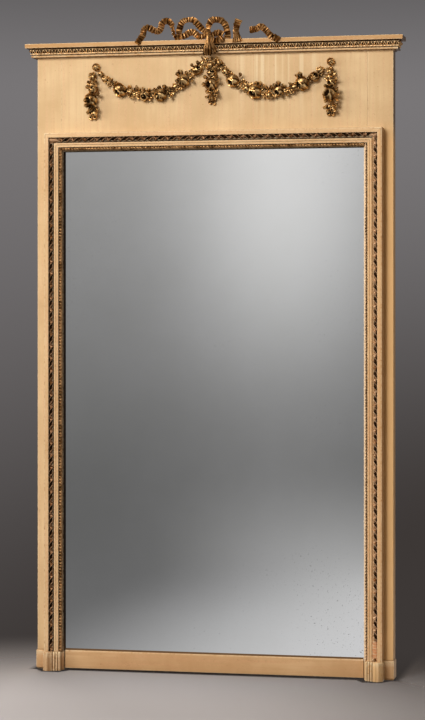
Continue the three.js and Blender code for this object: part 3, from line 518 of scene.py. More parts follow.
def channel_dirt_and_shade(u, v, side=-1):
    """Black dirt and painted shade on the walls of the ribbon's channel and of the pearls' seat; on the left and
    over the head the ribbon's core and the sight wall are painted darker, as shade.
    """
    if v < 0.0345 and 0.0157 < u < 0.0180 or 0.0480 < u < 0.0495 or side < 0 and u > 0.0593:
        return 1.0
    if 0.0249 < u < 0.0337 and v < 0.0300:
        return 0.62 if side < 0 else 0.34
    if u < 0.0040:
        return 0.30
    return 0.6 if 0.0180 < u < 0.0249 or 0.0565 < u < 0.0582 else 0.0


for side, word in ((-1, "left"), (1, "right")):
    upright = outlined(f"{word}_frame_moulding",
                       [(side * (FRAME_X - u), FACE - v, FRAME_FOOT) for u, v in frame_section],
                       (0, 0, FRAME_TOP - FRAME_FOOT + 0.001), 36)
    mitre(upright, (side * FRAME_X, 0, FRAME_TOP - 0.0001), (-side, 0, 1))
    finish(upright, cream_frame if side < 0 else cream_right, "painted_wood", f"frame_{word}", depth=0.018,
           soil_and_shade=lambda at: channel_dirt_and_shade(FRAME_X - abs(at.x), FACE - at.y, at.x) * (at.x < 0 or at.z > 0.13))
head = outlined("head_frame_moulding",
                [(-FRAME_X - 0.001, FACE - v, FRAME_TOP - u) for u, v in frame_section],
                (2 * FRAME_X + 0.002, 0, 0), 24)
for side in (-1, 1):
    mitre(head, (side * FRAME_X, 0, FRAME_TOP + 0.0001), (side, 0, -1))
finish(head, cream_head, "painted_wood", "frame_head", depth=0.018,
       soil_and_shade=lambda at: channel_dirt_and_shade(FRAME_TOP - at.z, FACE - at.y))

# ---------------------------------------------------------------- twisted ribbon
# A carved and gilded ribbon, curled across its width and twisted round its own length, lies in the
# frame's channel. Over the head it is twisted both ways from the middle; the last 65 mm above the
# right plinth block have broken away.

TWIST_PITCH = 0.020
RIBBON_WIDTH = 0.0132
CHANNEL_MIDDLE = 0.0226
ROD_OUT = 0.0293


def old_gilding(name, gold="#62401c", bright="#e3bd84", bole="#140903", glare=0.24, metal=0.85, soot=0.75):
    """Water gilding on red-brown bole: bright where it is rubbed and on ridges as a painted highlight, brown with
    dirt in the hollows, which are also darkened as painted shade.
    """
    material, tree, place, worn, hollow = surface(name)
    # rubbed patches some 12 mm across, sooty stretches some 30 mm long, tool marks and dust under 2 mm
    patch = add(tree, "TexNoise", {"Vector": place, "Scale": 85.0, "Detail": 4.0, "Roughness": 0.6})
    sooty = add(tree, "TexNoise", {"Vector": place, "Scale": 38.0, "Detail": 2.0})
    fine = add(tree, "TexNoise", {"Vector": place, "Scale": 620.0, "Detail": 3.0})
    # bright on ridges and rubbed patches, partly a painted highlight; dark bole at hidden points, partly painted
    # shade
    rub = add(tree, "Math", (patch, worn), operation="ADD")
    dust = add(tree, "Math", (fine, 0.5, -0.25), operation="MULTIPLY_ADD")
    depth = add(tree, "Math", (hollow, dust), operation="ADD")
    groove = add(tree, "Math", (worn, -0.9, depth), operation="MULTIPLY_ADD")
    dark = add(tree, "MapRange", (groove, 0.08, 0.36, 0, 0.98))
    colour = tone(gold)
    for share, code in ((add(tree, "MapRange", (rub, 0.60, 1.05)), bright),
                        (add(tree, "MapRange", (sooty, 0.47, 0.62, 0, soot)), "#54330f"),
                        (add(tree, "MapRange", (patch, 0.40, 0.30, 0, 0.7)), "#74401c"), (dark, bole)):
        colour = add(tree, "Mix", {0: share, 6: colour, 7: tone(code)}, 2, data_type="RGBA")
    leaf = add(tree, "MapRange", (dark, 0.1, 0.75, metal, 0.0))
    gloss = add(tree, "MapRange", (patch, 0.35, 0.7, glare, glare + 0.16))
    relief = add(tree, "Bump", {"Height": fine, "Distance": 0.0005, "Strength": 0.45})
    skin = add(tree, "BsdfPrincipled", {"Base Color": colour, "Metallic": leaf, "Roughness": gloss, "Normal": relief,
                                        "Specular IOR Level": 0.12, "Specular Tint": tone("#ffd9a6")})
    add(tree, "OutputMaterial", [skin], None)
    return material


gilding = old_gilding("worn_water_gilding")
# a darker copy for the left and head pearls and the leaf band's returns: painted shade
dull_gilding_painted_shade = old_gilding("dull_water_gilding_painted_shade", gold="#5d3c1c", bright="#b89064", glare=0.30)
# a darker copy for the left and head ribbons, as painted shade, and a lighter one for the right ribbon and corner
# leaves, as painted light
dusty_gilding_painted_shade = old_gilding("dusty_water_gilding_painted_shade", gold="#51331c", bright="#a98668", bole="#0f0602", glare=0.36,
                            metal=0.5, soot=0.5)
rope_gilding_painted_light = old_gilding("lighter_water_gilding_painted_light", gold="#8a6240", bright="#d9b796", bole="#1a0c04", glare=0.36,
                           metal=0.45, soot=0.35)
# a lighter copy for the right pearls: rubbed to gesso, and lighter as painted light
rubbed_gilding_painted_light = old_gilding("gilding_rubbed_to_gesso_painted_light", gold="#7a5836", bright="#dfc4a4", bole="#241005",
                             glare=0.38, metal=0.4, soot=0.3)


def twisted(length, hand):
    """A curled strip along +X, twisted half a turn at every pitch."""
    steps = round(length / TWIST_PITCH * 8)
    strip = begin("grid", x_subdivisions=steps, y_subdivisions=8, size=1)
    strip.scale = (length, RIBBON_WIDTH, 1)
    settle(strip)
    for vert in strip.data.vertices:
        across = vert.co.y / (RIBBON_WIDTH / 2)
        vert.co.z = 0.0034 * (1 - across * across) - 0.0012
    fix(strip, "SOLIDIFY", thickness=0.0022, offset=0)
    fix(strip, "SIMPLE_DEFORM", deform_method="TWIST", deform_axis="X",
        angle=hand * math.pi * length / TWIST_PITCH)
    return strip


for word, hand, foot in (("left", 1, 0.0627), ("right", -1, 0.1280)):
    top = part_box(f"ribbon_twist_{word}")[1].z - 0.0004
    ribbon = twisted(top - foot, hand)
    ribbon.name = f"{word}_twisted_ribbon"
    side = -1 if word == "left" else 1
    ribbon.rotation_euler = (0, math.radians(-90), 0)
    ribbon.location = (side * (FRAME_X - CHANNEL_MIDDLE), FACE - ROD_OUT, (top + foot) / 2)
    settle(ribbon)
    # the left ribbon's gilding is darker, as painted shade, the right one's lighter, as painted light
    finish(ribbon, dusty_gilding_painted_shade if side < 0 else rope_gilding_painted_light, "gilt_wood", f"ribbon_twist_{word}", angle=60,
           depth=0.010)
# where the foot of the right ribbon is lost, its bare reddish ground shows, with one dark hole
low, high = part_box("ribbon_twist_right")
stump = begin("grid", "right_ribbon_ground", x_subdivisions=8, y_subdivisions=26, size=1)
for vert in stump.data.vertices:
    across, along = vert.co.x * 2, vert.co.y + 0.5
    swell = 0.0012 * math.sin(along * 31 + across) * math.sin(along * 13) - 0.0030 * abs(across) ** 5
    vert.co = (FRAME_X - 0.0249 + across * 0.0079, FACE - 0.0305 - swell, 0.0628 + along * 0.0642)
    if (vert.co - Vector((0.5395, vert.co.y, 0.0665))).length < 0.0042:
        vert.co.y = FACE - 0.0225
fix(stump, "SOLIDIFY", thickness=0.0060, offset=-1)
settle(stump)
bare_ground = cream_paint("bare_reddish_ground", body="#dba179", shade="#c48a60", rosy="#e0aa86",
                          dirt="#2e1508")
# inside the hole the ground is painted dark: painted shade
finish(stump, bare_ground, "painted_wood", depth=0.006,
       soil_and_shade=lambda at: 1.0 if at.y > FACE - 0.0262 and at.z < 0.072 else 0.0)
head_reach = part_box("ribbon_twist_head")[1].x
halves = []
for side in (-1, 1):
    half = twisted(head_reach, side)
    half.location = (side * head_reach / 2, FACE - ROD_OUT, FRAME_TOP - CHANNEL_MIDDLE)
    settle(half)
    halves.append(half)
alone(halves[0])
halves[1].select_set(True)
bpy.ops.object.join()
halves[0].name = "head_twisted_ribbon"
finish(halves[0], dusty_gilding_painted_shade, "gilt_wood", "ribbon_twist_head", angle=60, depth=0.010)

# ---------------------------------------------------------------- pearls
# A run of small turned and gilded pearls on a slip, pressed into the seat beside the sight edge.

PEARL_PITCH = 0.0102
PEARL_MIDDLE = 0.0530
PEARL_SEAT = 0.0203
PEARL = 0.0047


def pearl_run(name, length):
    """A slip along +X with a pearl at each pitch; every other pearl differs a little in size."""
    count = int(length / PEARL_PITCH)
    pitch = length / count
    pearl = begin("uv_sphere", name, segments=8, ring_count=6, radius=PEARL)
    mitre(pearl, (0, 0, -0.0018), (0, 0, -1))
    pearl.location = (-length / 2 + pitch / 2, 0, 0.0036)
    settle(pearl)
    fix(pearl, "ARRAY", count=count, use_relative_offset=False, use_constant_offset=True,
        constant_offset_displace=(pitch, 0, 0))
    slip = outlined("slip", [(-length / 2, y, z) for y, z in (
        (PEARL, 0), (PEARL, 0.0016), (0.0040, 0.0022), (-0.0040, 0.0022), (-PEARL, 0.0016), (-PEARL, 0))],
                    (length, 0, 0), 40)
    alone(pearl)
    slip.select_set(True)
    bpy.ops.object.join()
    return pearl


def standing(x, z, out, angle, size=1.0, lean=0.0, roll=0.0):
    """The place of a form made face up: on the front, out from the face, its +X turned by angle."""
    front = Matrix(((1, 0, 0, 0), (0, 0, -1, 0), (0, 1, 0, 0), (0, 0, 0, 1)))
    return (Matrix.Translation((x, FACE - out, z)) @ front @ Matrix.Rotation(math.radians(angle), 4, "Z")
            @ Matrix.Rotation(math.radians(-lean), 4, "Y") @ Matrix.Rotation(math.radians(roll), 4, "X")
            @ Matrix.Scale(size, 4))


for word, side in (("left", -1), ("right", 1)):
    low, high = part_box(f"pearls_{word}")
    run = pearl_run(f"{word}_pearls", high.z - low.z)
    run.matrix_world = standing(side * (FRAME_X - PEARL_MIDDLE), (low.z + high.z) / 2, PEARL_SEAT, -90)
    settle(run)
    # left pearls darker, as painted shade; right pearls lighter, as painted light, with painted shade on their right
    # halves
    finish(run, dull_gilding_painted_shade if side < 0 else rubbed_gilding_painted_light, "gilt_wood", f"pearls_{word}", angle=50,
           depth=0.006, soil_and_shade=lambda at: 0.95 if at.x > FRAME_X - 0.0537 else 0.0)
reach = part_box("pearls_head")[1].x
run = pearl_run("head_pearls", 2 * reach)
run.matrix_world = standing(0, FRAME_TOP - PEARL_MIDDLE, PEARL_SEAT, 0)
settle(run)
finish(run, dull_gilding_painted_shade, "gilt_wood", "pearls_head", angle=50, depth=0.006)

# ---------------------------------------------------------------- corner leaves
# A carved leaf covers each mitre of the ribbon: a long strap along the head and a short one down.


def leaf_blade(name, length, width, rise, curl, lobes=3, across=6, along=12, blunt=0.8):
    """A pointed leaf along +X from the origin: lobed edge, raised midrib, tip curled up from the ground."""
    obj = begin("grid", name, x_subdivisions=along, y_subdivisions=across, size=1)
    for vert in obj.data.vertices:
        t, s = vert.co.x + 0.5, vert.co.y * 2
        lobe = 1 + 0.16 * math.cos(2 * math.pi * lobes * t) * abs(s)
        half = width / 2 * math.sin(math.pi * min(1, t * 0.94 + 0.06) ** blunt) ** 0.6 * lobe
        fold = rise * (1 - abs(s)) ** 1.3 * math.sin(math.pi * (0.15 + 0.8 * t))
        vein = -0.18 * rise * math.cos(2 * math.pi * lobes * t) * abs(s)
        vert.co = (length * t, half * s, fold + vein + curl * t * t)
    fix(obj, "SOLIDIFY", thickness=-width * 0.13, offset=-1)
    return obj


def placed(obj, matrix):
    """A copy of obj, with a mesh of its own, at a place."""
    copy = obj.copy()
    copy.data = obj.data.copy()
    bpy.context.collection.objects.link(copy)
    copy.matrix_world = matrix
    return copy


def together(name, parts):
    """Joins carved parts into one piece, with its place in its mesh."""
    bpy.ops.object.select_all(action="DESELECT")
    for part in parts:
        part.select_set(True)
    bpy.context.view_layer.objects.active = parts[0]
    bpy.ops.object.join()
    parts[0].name = name
    settle(parts[0])
    return parts[0]


strap = leaf_blade("strap", 0.034, 0.0165, 0.0070, 0.0, lobes=2, along=16)
for word, side, reach in (("left", -1, 1.0), ("right", 1, 0.72)):
    corner_x = side * (FRAME_X - 0.0172)
    corner_z = FRAME_TOP - 0.0172
    towards = 0 if side < 0 else 180
    parts = [placed(strap, standing(corner_x, corner_z - 0.0075, 0.0255, towards, reach)),
             placed(strap, standing(corner_x, corner_z - 0.0055, 0.0275, towards, reach * 0.82)),
             placed(strap, standing(corner_x - side * 0.0072, corner_z, 0.0255, 270, 0.52)),
             placed(strap, standing(corner_x - side * 0.002, corner_z - 0.002, 0.0285, 225 if side > 0 else 315,
                                    0.42))]
    leaf = together(f"{word}_mitre_leaf", parts)
    finish(leaf, rope_gilding_painted_light, "gilt_wood", f"{word}_corner_leaf", angle=60, depth=0.012)
bpy.data.objects.remove(strap)

# ---------------------------------------------------------------- mirror plate
# Old float-polished plate, silvered at the back: a cold, slightly hazy reflection, with fine foxing
# along the edges, most of it at the lower right, where damp has reached the silver.

material, tree = new_material("old_silvered_plate")
place = add(tree, "TexCoord", out="Object")
x, _, z = add(tree, "SeparateXYZ", [place], None)
haze = add(tree, "TexNoise", {"Vector": place, "Scale": 3.2, "Detail": 6.0, "Roughness": 0.62})
specks = add(tree, "TexNoise", {"Vector": place, "Scale": 190.0, "Detail": 4.0, "Roughness": 0.6})
aside = add(tree, "Math", [x], operation="ABSOLUTE")
side_edge = add(tree, "MapRange", (aside, 0.43, 0.505))
foot_edge = add(tree, "MapRange", (z, 0.20, 0.065))
edges = add(tree, "Math", (side_edge, foot_edge), operation="MAXIMUM")
near = add(tree, "Math", (edges, 0.45), operation="MULTIPLY")
off = add(tree, "VectorMath", (place, (0.400, 0, 0.262)), "Value", operation="DISTANCE")
damp = add(tree, "MapRange", (off, 0.26, 0.04))
near = add(tree, "Math", (near, damp), operation="MAXIMUM")
patchy = add(tree, "Math", (haze, 0.34, specks), operation="MULTIPLY_ADD")
spread = add(tree, "Math", (near, 0.085, patchy), operation="MULTIPLY_ADD")
fox = add(tree, "MapRange", (spread, 0.865, 0.925, 0, 0.5))
silver = tone("#e2e2e1")
for share, code in ((add(tree, "MapRange", (haze, 0.3, 0.7)), "#e8e8e8"), (fox, "#4b4744")):
    silver = add(tree, "Mix", {0: share, 6: silver, 7: tone(code)}, 2, data_type="RGBA")
blur = add(tree, "MapRange", (haze, 0.3, 0.7, 0.060, 0.075))
blurred = add(tree, "Math", (fox, 0.15, blur), operation="MULTIPLY_ADD")
skin = add(tree, "BsdfPrincipled", {"Base Color": silver, "Metallic": 1.0, "Roughness": blurred})
add(tree, "OutputMaterial", [skin], None)
coat(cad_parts["mirror_plate"], material)

# ---------------------------------------------------------------- back boards, battens, cleat, blocks
# Unpainted pine, brown with age, sawn and roughly planed: boards across the back, two battens and
# the hanging cleat over them, glazing blocks behind the plate, and cut nails with dark round heads.


def old_pine(name, scale):
    """Bare softwood, darker with dirt and age; growth lines 4 mm apart, along the axis of small scale."""
    material, tree = new_material(name)
    place = add(tree, "TexCoord", out="Object")
    lines_at = add(tree, "Mapping", {"Vector": place, "Scale": scale})
    lines = add(tree, "TexNoise", {"Vector": lines_at, "Scale": 1.0, "Detail": 5.0, "Distortion": 0.4})
    cloud = add(tree, "TexNoise", {"Vector": place, "Scale": 7.0, "Detail": 5.0})
    colour = tone("#6f4d2c")
    for share, code in ((add(tree, "MapRange", (lines, 0.35, 0.65)), "#a57c4e"),
                        (add(tree, "MapRange", (cloud, 0.35, 0.7)), "#7d5c3a"), (0.35, "#57402a")):
        colour = add(tree, "Mix", {0: share, 6: colour, 7: tone(code)}, 2, data_type="RGBA")
    relief = add(tree, "Bump", {"Height": lines, "Distance": 0.0008, "Strength": 0.5})
    skin = add(tree, "BsdfPrincipled", {"Base Color": colour, "Roughness": 0.78, "IOR": 1.5, "Normal": relief})
    add(tree, "OutputMaterial", [skin], None)
    return material


pine_across = old_pine("bare_pine_across", (7, 240, 240))
pine_upright = old_pine("bare_pine_upright", (240, 240, 7))
for name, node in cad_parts.items():
    if name.startswith("backboard") or name == "hanging_cleat" or "top_glazing" in name:
        coat(node, pine_across)
    elif "batten" in name or "glazing_block" in name:
        coat(node, pine_upright)

material, tree = new_material("rusted_cut_nail")
rust = add(tree, "TexNoise", {"Vector": add(tree, "TexCoord", out="Object"), "Scale": 400.0, "Detail": 3.0})
colour = add(tree, "Mix", {0: rust, 6: tone("#241a14"), 7: tone("#5a3a26")}, 2, data_type="RGBA")
skin = add(tree, "BsdfPrincipled", {"Base Color": colour, "Metallic": 0.6, "Roughness": 0.6})
add(tree, "OutputMaterial", [skin], None)
nail = begin("cone", vertices=10, radius1=0.0032, radius2=0.0022, depth=0.0014,
             rotation=(math.radians(-90), 0, 0))
settle(nail)
edit(nail, lambda: bpy.ops.mesh.bevel(offset=0.0004, segments=1, affect="EDGES"))
_, board_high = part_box("backboard_1")
boards = [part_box(f"backboard_{i}") for i in range(1, 6)]
spots = []
for low, high in boards:
    for share in (0.14, 0.5, 0.86):
        z = low.z + (high.z - low.z) * share
        spots += [(side * (board_high.x - 0.006), board_high.y, z) for side in (-1, 1)]
for word in ("left", "right"):
    low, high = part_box(f"{word}_batten")
    for under, over in boards:
        for share, aside in ((0.2, -0.016), (0.8, 0.016)):
            z = under.z + (over.z - under.z) * share
            if low.z + 0.02 < z < high.z - 0.02:
                spots += [((low.x + high.x) / 2 + aside, high.y, z)]
low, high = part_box("hanging_cleat")
spots += [(low.x + (high.x - low.x) * share, high.y, 1.955) for share in (0.05, 0.28, 0.5, 0.72, 0.95)]
nails = together("cut_nails", [placed(nail, Matrix.Translation((x, min(y + 0.0004, BACK - 0.0008), z)))
                               for x, y, z in spots])
bpy.data.objects.remove(nail)
coat(nails, material)
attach(nails, "root")

# ---------------------------------------------------------------- cornice
# A cornice in three mitred lengths round the head of the carcass: two beads, a cove that holds the
# bead row and the leaf band, and a broad flat fillet, dirtier than the frieze and rubbed at the top.

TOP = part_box("cap_board")[1].z
CORNICE_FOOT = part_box("cornice_front")[0].z
CORNICE_OUT = 0.034
OVERLONG = CORNICE_OUT + 0.002
cornice_section = [(u / 1000, v / 1000) for u, v in
    ((0.3, 0), (5.6, 0), (6, 0.4), (6, 2.6), (6.6, 3), (14.6, 3), (16, 3.4), (16.9, 4.6), (17.1, 6),
     (16.8, 7.8), (15.8, 9), (14.4, 9.4), (13.1, 9.6), (12.9, 10.4), (13.1, 11.2), (14.2, 11.5),
     (14.8, 12.2), (14.8, 16.5), (14, 17.4), (12.2, 17.8), (12, 19), (12, 27.2), (12.6, 28.4), (15, 30),
     (19, 31.8), (21, 32.8), (23, 33), (32.2, 33), (33.6, 33.4), (34, 34.6), (34, 36), (34, 44.4),
     (34, 45.6), (33.5, 46.6), (32.4, 47), (31, 47), (20, 47), (0.3, 47))]
cream_cornice = cream_paint("aged_cream_paint_cornice", body="#dab98d", shade="#c39c6e", rosy="#d7ab88",
                            dirt="#3c2412", wear=1.0, level=True)
# a dark copy of the cornice paint for its returns: painted shade
cream_end_painted_shade = cream_paint("aged_cream_paint_cornice_end_shaded", body="#8a6a48", shade="#70512f", rosy="#7d5a3c",
                        dirt="#20130a", wear=0.35, flanks=0.85)


def cornice_dirt_and_shade(z):
    """Dirt and painted shade in the quirks and on the undersides, by height above the foot of the cornice."""
    if z < 0.0031:
        return 0.28
    if 0.0086 < z < 0.0116 or 0.0168 < z < 0.0192 or 0.0270 < z < 0.0329:
        return 1.0
    return 0.0


front_cornice = outlined("front_cornice", [(-HALF_WIDTH - OVERLONG, FACE - w, CORNICE_FOOT + z)
                                           for w, z in cornice_section], (2 * (HALF_WIDTH + OVERLONG), 0, 0), 32)
for side in (-1, 1):
    mitre(front_cornice, (side * (HALF_WIDTH - 0.0001), FACE, 0), (side, 1, 0))
finish(front_cornice, cream_cornice, "painted_wood", "cornice_front", depth=0.012,
       soil_and_shade=lambda at: cornice_dirt_and_shade(at.z - CORNICE_FOOT))
for side, word in ((-1, "left"), (1, "right")):
    shape = outlined(f"{word}_cornice", [(side * (HALF_WIDTH + w), FACE - 0.040, CORNICE_FOOT + z)
                                         for w, z in cornice_section], (0, BACK - FACE + 0.040, 0), 4)
    mitre(shape, (side * HALF_WIDTH, FACE + 0.0001, 0), (-side, -1, 0))
    finish(shape, cream_end_painted_shade, "painted_wood", f"cornice_{word}_return", depth=0.012,
           soil_and_shade=lambda at: cornice_dirt_and_shade(at.z - CORNICE_FOOT))

# ---------------------------------------------------------------- leaf band and bead row
# Carved and gilded water leaves with a dart between each two, and below them a row of small beads,
# two to a leaf. A few leaves right of the middle are lost.

LEAF_PITCH = 0.0213
LEAF_FOOT = 0.0178
LEAF_RISE = 0.0104
band_gilding = old_gilding("leaf_band_gilding", gold="#74481f", bright="#ffdcaa", bole="#0c0401", glare=0.26,
                           metal=0.75, soot=0.3)


def ridge(distance, half):
    """A rounded ridge: 1 on its crest, 0 beyond its half width."""
    return max(0.0, 1 - (distance / half) ** 2) ** 0.6 if abs(distance) < half else 0.0


def cove_lean(t):
    """How far the ground of the band stands out, from its foot (0) to its top (1)."""
    return 0.0128 + 0.0095 * t ** 0.8


def water_leaf():
    """One leaf, its two rolled edges meeting below, with half darts at its sides; face to -Y."""
    obj = begin("grid", x_subdivisions=24, y_subdivisions=9, size=1)
    for vert in obj.data.vertices:
        s, t = vert.co.x * 2, vert.co.y + 0.5
        edge = 0.13 + 0.52 * t ** 0.75
        roll = 0.0056 * ridge(abs(s) - edge, 0.21) * (0.35 + 0.65 * math.sin(math.pi * min(1, t * 0.9 + 0.15)))
        rib = 0.0018 * ridge(abs(s), 0.10) * (1 - t)
        dart = 0.0036 * ridge(1 - abs(s), 0.11) * (1 if t < 0.75 else 0.2)
        vert.co = (s * LEAF_PITCH / 2, -(cove_lean(t) + max(roll, rib, dart)), LEAF_FOOT + LEAF_RISE * t)
    fix(obj, "SOLIDIFY", thickness=0.0012, offset=-1)
    bead = begin("uv_sphere", segments=8, ring_count=5, radius=1)
    bead.scale = (0.0042, 0.0032, 0.0026)
    bead.location = (-LEAF_PITCH / 4, -0.0160, 0.0144)
    settle(bead)
    mitre(bead, (0, -0.0150, 0), (0, 1, 0))
    second = placed(bead, Matrix.Translation((LEAF_PITCH / 2, 0, 0)))
    return together("water_leaf", [obj, bead, second])


leaf_form = water_leaf()


def leaf_run(name, length):
    """A run of leaves along X, centred, trimmed at its ends by the mitres that follow."""
    count = 2 * math.ceil(length / LEAF_PITCH / 2) + 1
    parts = []
    for i in range(count):
        x = (i - (count - 1) / 2) * LEAF_PITCH
        parts.append(placed(leaf_form, Matrix.Translation((x, 0, 0))))
    return together(name, parts)


band = leaf_run("front_leaf_band", 2 * HALF_WIDTH + 0.06)
band.location = (0, FACE, CORNICE_FOOT)
settle(band)
# the loss: the leaves between 117 and 134 mm right of the middle are broken down to their ground
for vert in band.data.vertices:
    height = (vert.co.z - CORNICE_FOOT - LEAF_FOOT) / LEAF_RISE
    if 0.114 < vert.co.x < 0.136 and height > -0.02:
        vert.co.y = max(vert.co.y, FACE - cove_lean(min(1, max(0, height))) - 0.0006)
for side in (-1, 1):
    mitre(band, (side * (HALF_WIDTH - 0.0001), FACE, 0), (side, 1, 0))
finish(band, band_gilding, "gilt_wood", "leaf_band_front", angle=50, depth=0.008)
for side, word in ((-1, "left"), (1, "right")):
    band = leaf_run(f"{word}_leaf_band", BACK - FACE + 0.12)
    band.rotation_euler = (0, 0, math.radians(90 * side))
    band.location = (side * HALF_WIDTH, 0.0, CORNICE_FOOT)
    settle(band)
    mitre(band, (side * HALF_WIDTH, FACE + 0.0001, 0), (-side, -1, 0))
    mitre(band, (0, BACK - 0.0003, 0), (0, 1, 0))
    # the returns' gilding is darkened all over: painted shade
    finish(band, dull_gilding_painted_shade, "gilt_wood", f"leaf_band_{word}", angle=50, depth=0.008, soil_and_shade=lambda at: 0.6)
bpy.data.objects.remove(leaf_form)

# ---------------------------------------------------------------- garlands
# Carved limewood, gilded: two swags and three drops of roses, buds, leaves, husks and berries, pinned
# to the frieze. Each rose is a deep cup with a dark eye, its petals lapped round it.


def rose():
    """A rose of radius 1, made face up: a globe of petals lapped in a spiral, with a deep round eye."""
    globe = begin("uv_sphere", segments=36, ring_count=20, radius=1)
    eye = 0.56
    for vert in globe.data.vertices:
        x, y, z = vert.co
        polar = math.acos(max(-1, min(1, z)))
        turn = math.atan2(y, x)
        lap = (turn / (2 * math.pi) * 5 + polar * 0.75) % 1
        swell = 0.84 + 0.18 * lap ** 0.7 if polar > eye else 0.97
        if polar < eye:
            share = polar / eye
            z = 0.86 - 0.78 * (1 - share ** 2.2)
        vert.co = (x * swell, y * swell, 0.35 + max(-0.45, z * (0.9 if polar > eye else 1)))
    return globe


def bud():
    """A half-open bud along +X: a fluted drop in a calyx, of length 1."""
    obj = begin("uv_sphere", segments=20, ring_count=12, radius=0.5)
    obj.rotation_euler = (0, math.radians(90), 0)
    settle(obj)
    for vert in obj.data.vertices:
        t = vert.co.x + 0.5
        flute = 1 + 0.13 * math.cos(5 * math.atan2(vert.co.z, vert.co.y)) * (0.4 + 0.6 * t)
        girth = flute * (0.62 if t < 0.9 else 0.5) * (0.75 + 0.5 * (1 - t))
        vert.co = (t if t < 0.93 else 0.86, vert.co.y * girth * 1.5, vert.co.z * girth * 1.5)
    return obj


rose_form = rose()
bud_form = bud()
broad_leaf = leaf_blade("broad_leaf", 1.0, 0.78, 0.26, 0.34, lobes=3, across=6, along=12, blunt=1.7)
spear_leaf = leaf_blade("spear_leaf", 1.0, 0.62, 0.30, 0.46, lobes=1, across=4, along=9, blunt=1.9)
berry_form = begin("uv_sphere", segments=12, ring_count=8, radius=1)
for vert in berry_form.data.vertices:
    if vert.co.z > 0.85:
        vert.co.z = 0.62
draw = random.Random(7)
RELIEF = 0.017
STEM = 0.0085


def along_path(points, share):
    """A place and a direction on a path of points, by share of its length."""
    spans = [(Vector(b) - Vector(a)).length for a, b in zip(points, points[1:])]
    left = share * sum(spans)
    for (a, b), span in zip(zip(points, points[1:]), spans):
        if left <= span or b == points[-1]:
            way = (Vector(b) - Vector(a)).normalized()
            return Vector(a) + way * left, math.degrees(math.atan2(way.y, way.x))
        left -= span


def garland(node, path, roses, buds, leaves, berries=()):
    """Carves one swag or drop; places are millimetres on the frieze, angles from +X."""
    parts = []
    line = [(x / 1000, z / 1000) for x, z in path]
    length = sum((Vector(b) - Vector(a)).length for a, b in zip(line, line[1:]))
    # the stem and the small foliage that fills the rope between the flowers
    steps = round(length / 0.0072)
    for i in range(steps + 1):
        share = i / steps
        at, way = along_path(line, share)
        full = 0.55 + 0.45 * math.sin(math.pi * min(1, max(0, share))) ** 0.5
        out = Vector((-math.sin(math.radians(way)), math.cos(math.radians(way))))
        if any((Vector((x, z)) / 1000 - at).length < radius * 0.00072 for x, z, radius, _, _ in roses):
            continue
        for side in (-1, 1):
            angle = way + side * draw.uniform(25, 80) + (180 if draw.random() < 0.35 else 0)
            size = draw.uniform(0.0135, 0.0185) * full
            off = at + out * side * draw.uniform(0.000, 0.0075) * full
            parts.append(placed(broad_leaf if draw.random() < 0.6 else spear_leaf, standing(
                off.x, off.y, RELIEF * full * draw.uniform(0.15, 0.45), angle, size, draw.uniform(0, 18),
                draw.uniform(-30, 30))))
        knob = at + out * draw.uniform(-0.009, 0.009) * full
        parts.append(placed(berry_form, standing(knob.x, knob.y, draw.uniform(0.006, 0.013) * full, 0,
                                                 draw.uniform(0.0042, 0.0066) * full)))
        parts.append(placed(berry_form, standing(at.x, at.y, 0.004, 0, STEM * full)))
    for x, z, radius, look, lean in roses:
        radius *= 0.00118
        tip = Matrix.Rotation(math.radians(lean * 1.45), 4, Vector((-math.sin(math.radians(look)),
                                                               math.cos(math.radians(look)), 0)))
        parts.append(placed(rose_form, standing(x / 1000, z / 1000, 0.004, 0) @ tip
                            @ Matrix.Rotation(draw.uniform(0, 6), 4, "Z") @ Matrix.Scale(radius, 4)))
    for x, z, size, angle in buds:
        parts.append(placed(bud_form, standing(x / 1000, z / 1000, 0.011, angle, size / 1000, 8)))
    for x, z, size, angle, lean in leaves:
        size *= 0.78
        parts.append(placed(spear_leaf, standing(x / 1000, z / 1000, 0.009, angle, size / 1000, lean,
                                                 draw.uniform(-15, 15))))
    for x, z, radius in berries:
        parts.append(placed(berry_form, standing(x / 1000, z / 1000, radius / 1000 * 0.9, 0, radius / 1000)))
    piece = together(f"{node}_carving", parts)
    mitre(piece, (0, FACE - 0.0004, 0), (0, 1, 0))
    finish(piece, gilding, "gilt_wood", node, angle=55, depth=0.014)


garland("left_swag", [(-372, 1968), (-343, 1942), (-305, 1921), (-262, 1906), (-225, 1899), (-169, 1902),
    (-124, 1919), (-90, 1945), (-56, 1971), (-32, 1996), (-22, 2014)], roses=[(-305, 1920, 21, 225, 34),
    (-224, 1898, 17, 250, 18), (-168, 1901, 20, 215, 32), (-90, 1944, 20, 200, 32), (-52, 1973, 15, 45, 30)],
    buds=[(-381, 1976, 20, -50), (-352, 1948, 22, 150), (-268, 1905, 22, 150), (-128, 1915, 24, 40),
    (-33, 1990, 20, 60)], leaves=[(-340, 1944, 20, 60, 20), (-278, 1918, 24, 62, 20), (-252, 1912, 26, 70, 20),
    (-238, 1910, 22, 105, 26), (-226, 1908, 26, 88, 26), (-214, 1908, 22, 65, 26), (-186, 1898, 22, 250, 12),
    (-172, 1912, 26, 112, 28), (-160, 1913, 30, 78, 28), (-150, 1910, 24, 52, 24), (-140, 1900, 24, 285, 12),
    (-112, 1932, 24, 120, 22), (-106, 1955, 30, 128, 30), (-98, 1960, 34, 104, 30), (-86, 1958, 26, 72, 26),
    (-70, 1948, 22, 300, 14), (-260, 1900, 22, 245, 12), (-206, 1892, 20, 262, 10), (-62, 1985, 20, 125, 22),
    (-28, 2000, 22, 20, 20), (-40, 1996, 20, 150, 20)])
